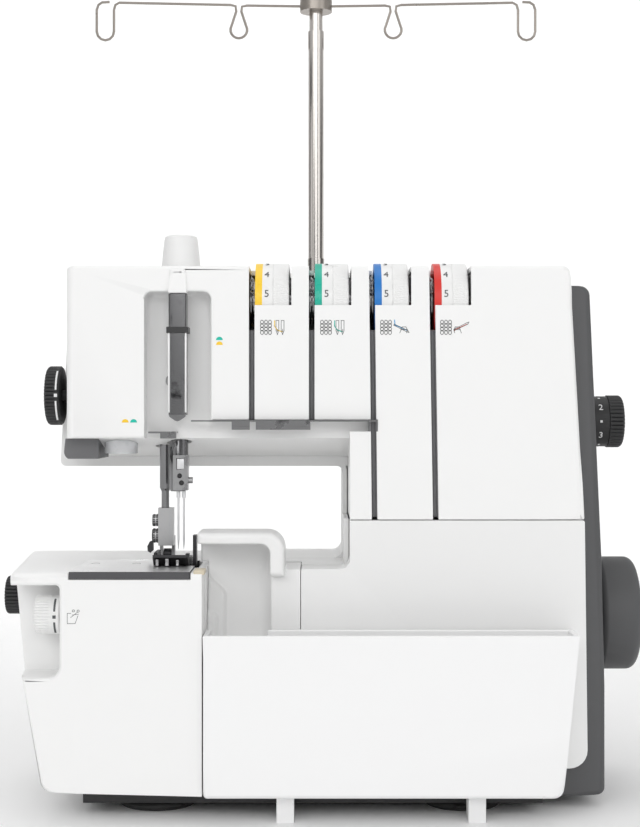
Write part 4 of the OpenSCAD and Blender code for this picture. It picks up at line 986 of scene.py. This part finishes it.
def bright_room():
    """A white room. The metal also reflects dark bands at eye level, in front and at both sides."""
    world = bpy.data.worlds.new("studio_world")
    world.use_nodes = True
    tree = world.node_tree
    coord = tree.nodes.new("ShaderNodeTexCoord")
    split = tree.nodes.new("ShaderNodeSeparateXYZ")
    link(tree, coord.outputs["Generated"], split.inputs["Vector"])

    def math_node(kind, a, b):
        node = tree.nodes.new("ShaderNodeMath")
        node.operation = kind
        for socket, value in zip(node.inputs, (a, b)):
            if isinstance(value, float):
                socket.default_value = value
            else:
                link(tree, value, socket)
        return node.outputs["Value"]

    def ramp(value, low, high):
        node = tree.nodes.new("ShaderNodeMapRange")
        node.interpolation_type = "SMOOTHSTEP"
        node.inputs["From Min"].default_value = low
        node.inputs["From Max"].default_value = high
        link(tree, value, node.inputs["Value"])
        return node.outputs["Result"]

    away = ramp(math_node("ABSOLUTE", split.outputs["Z"], 0.0), 0.14, 0.24)
    behind = ramp(split.outputs["Y"], -0.93, -0.82)
    side = ramp(math_node("ABSOLUTE", split.outputs["X"], 0.0), 0.86, 0.95)
    ahead = math_node("MULTIPLY", behind, math_node("SUBTRACT", 1.0, side))
    seen = tree.nodes.new("ShaderNodeLightPath").outputs["Is Camera Ray"]
    open_sky = math_node("MAXIMUM", math_node("MAXIMUM", away, ahead), seen)
    background = tree.nodes["Background"]
    link(tree, mixed(tree, open_sky, (0.1, 0.1, 0.105), (1.0, 1.0, 1.0)), background.inputs["Color"])
    background.inputs["Strength"].default_value = 0.7
    return world


def studio_floor():
    """A pale sweep: flat under the machine, curved up behind it."""
    mat, tree, shader = new_material("studio_floor")
    link(tree, mixed(tree, spread(tree, noise(tree, 3, 2), 0, 1), (0.93, 0.93, 0.93), (0.95, 0.95, 0.95)),
         shader.inputs["Base Color"])
    shader.inputs["Roughness"].default_value = 0.7
    half_wide, front, bend, bend_r, top = 5, -4.0, 1.6, 1.0, 5.0
    curve = [(bend + bend_r * math.sin(a), bend_r - bend_r * math.cos(a))
             for a in [math.pi / 2 * k / 10 for k in range(1, 11)]]
    path = [(front, 0.0), (bend, 0.0)] + curve + [(bend + bend_r, top)]
    verts = [(x, y, z) for y, z in path for x in (-half_wide, half_wide)]
    faces = [(2 * i, 2 * i + 1, 2 * i + 3, 2 * i + 2) for i in range(len(path) - 1)]
    mesh = bpy.data.meshes.new("floor")
    mesh.from_pydata(verts, [], faces)
    mesh.materials.append(mat)
    for poly in mesh.polygons:
        poly.use_smooth = True
    floor = bpy.data.objects.new("floor", mesh)
    bpy.context.scene.collection.objects.link(floor)


def area_light(name, place, target, size, power):
    """A softbox that faces a target; size in metres, power in watts."""
    lamp = bpy.data.lights.new(name, "AREA")
    lamp.shape = "RECTANGLE"
    lamp.size, lamp.size_y = size
    lamp.energy = power
    obj = bpy.data.objects.new(name, lamp)
    obj.location = place
    obj.rotation_euler = (Vector(target) - Vector(place)).to_track_quat("-Z", "Y").to_euler()
    bpy.context.scene.collection.objects.link(obj)


def studio():
    """Floor, lights, world and the camera straight in front of the machine."""
    studio_floor()
    area_light("key_softbox", (-0.9, -1.7, 1.15), (0, 0, 0.2), (1.0, 0.9), 5.2)
    area_light("fill_softbox", (1.3, -1.3, 0.9), (0, 0, 0.2), (0.8, 1.2), 2.9)
    area_light("front_softbox", (0.1, -2.0, 0.8), (0, 0, 0.15), (1.2, 0.8), 5.2)
    area_light("top_softbox", (0.0, 0.1, 1.9), (0, 0, 0.2), (1.4, 1.2), 5)
    area_light("back_wash", (0.0, 0.9, 1.7), (0, 2.4, 0.9), (2.5, 0.8), 18)
    scene = bpy.context.scene
    scene.world = bright_room()
    scene.view_settings.view_transform = "Standard"
    scene.view_settings.look = "None"
    cam = bpy.data.cameras.new("camera")
    cam.sensor_width = 36
    cam.sensor_fit = "AUTO"
    cam.lens = 67.65
    cam.clip_start = 0.05
    camera = bpy.data.objects.new("camera", cam)
    camera.location = (0, -0.887, 0.2005)
    camera.rotation_euler = (math.radians(90), 0, 0)
    scene.collection.objects.link(camera)
    scene.camera = camera


studio()
dress_nodes()
covers()
chute()
slot_strips()
slot_hardware()
take_up_channel()
bed_tongue()
needle_clamp_fittings()
presser_foot_fittings()
pictograms()
tension_dials()
stitch_length_knob()
foot_pressure_knob()
cutting_width_knob()
knife_release_knob()
handwheel()
face_marks()
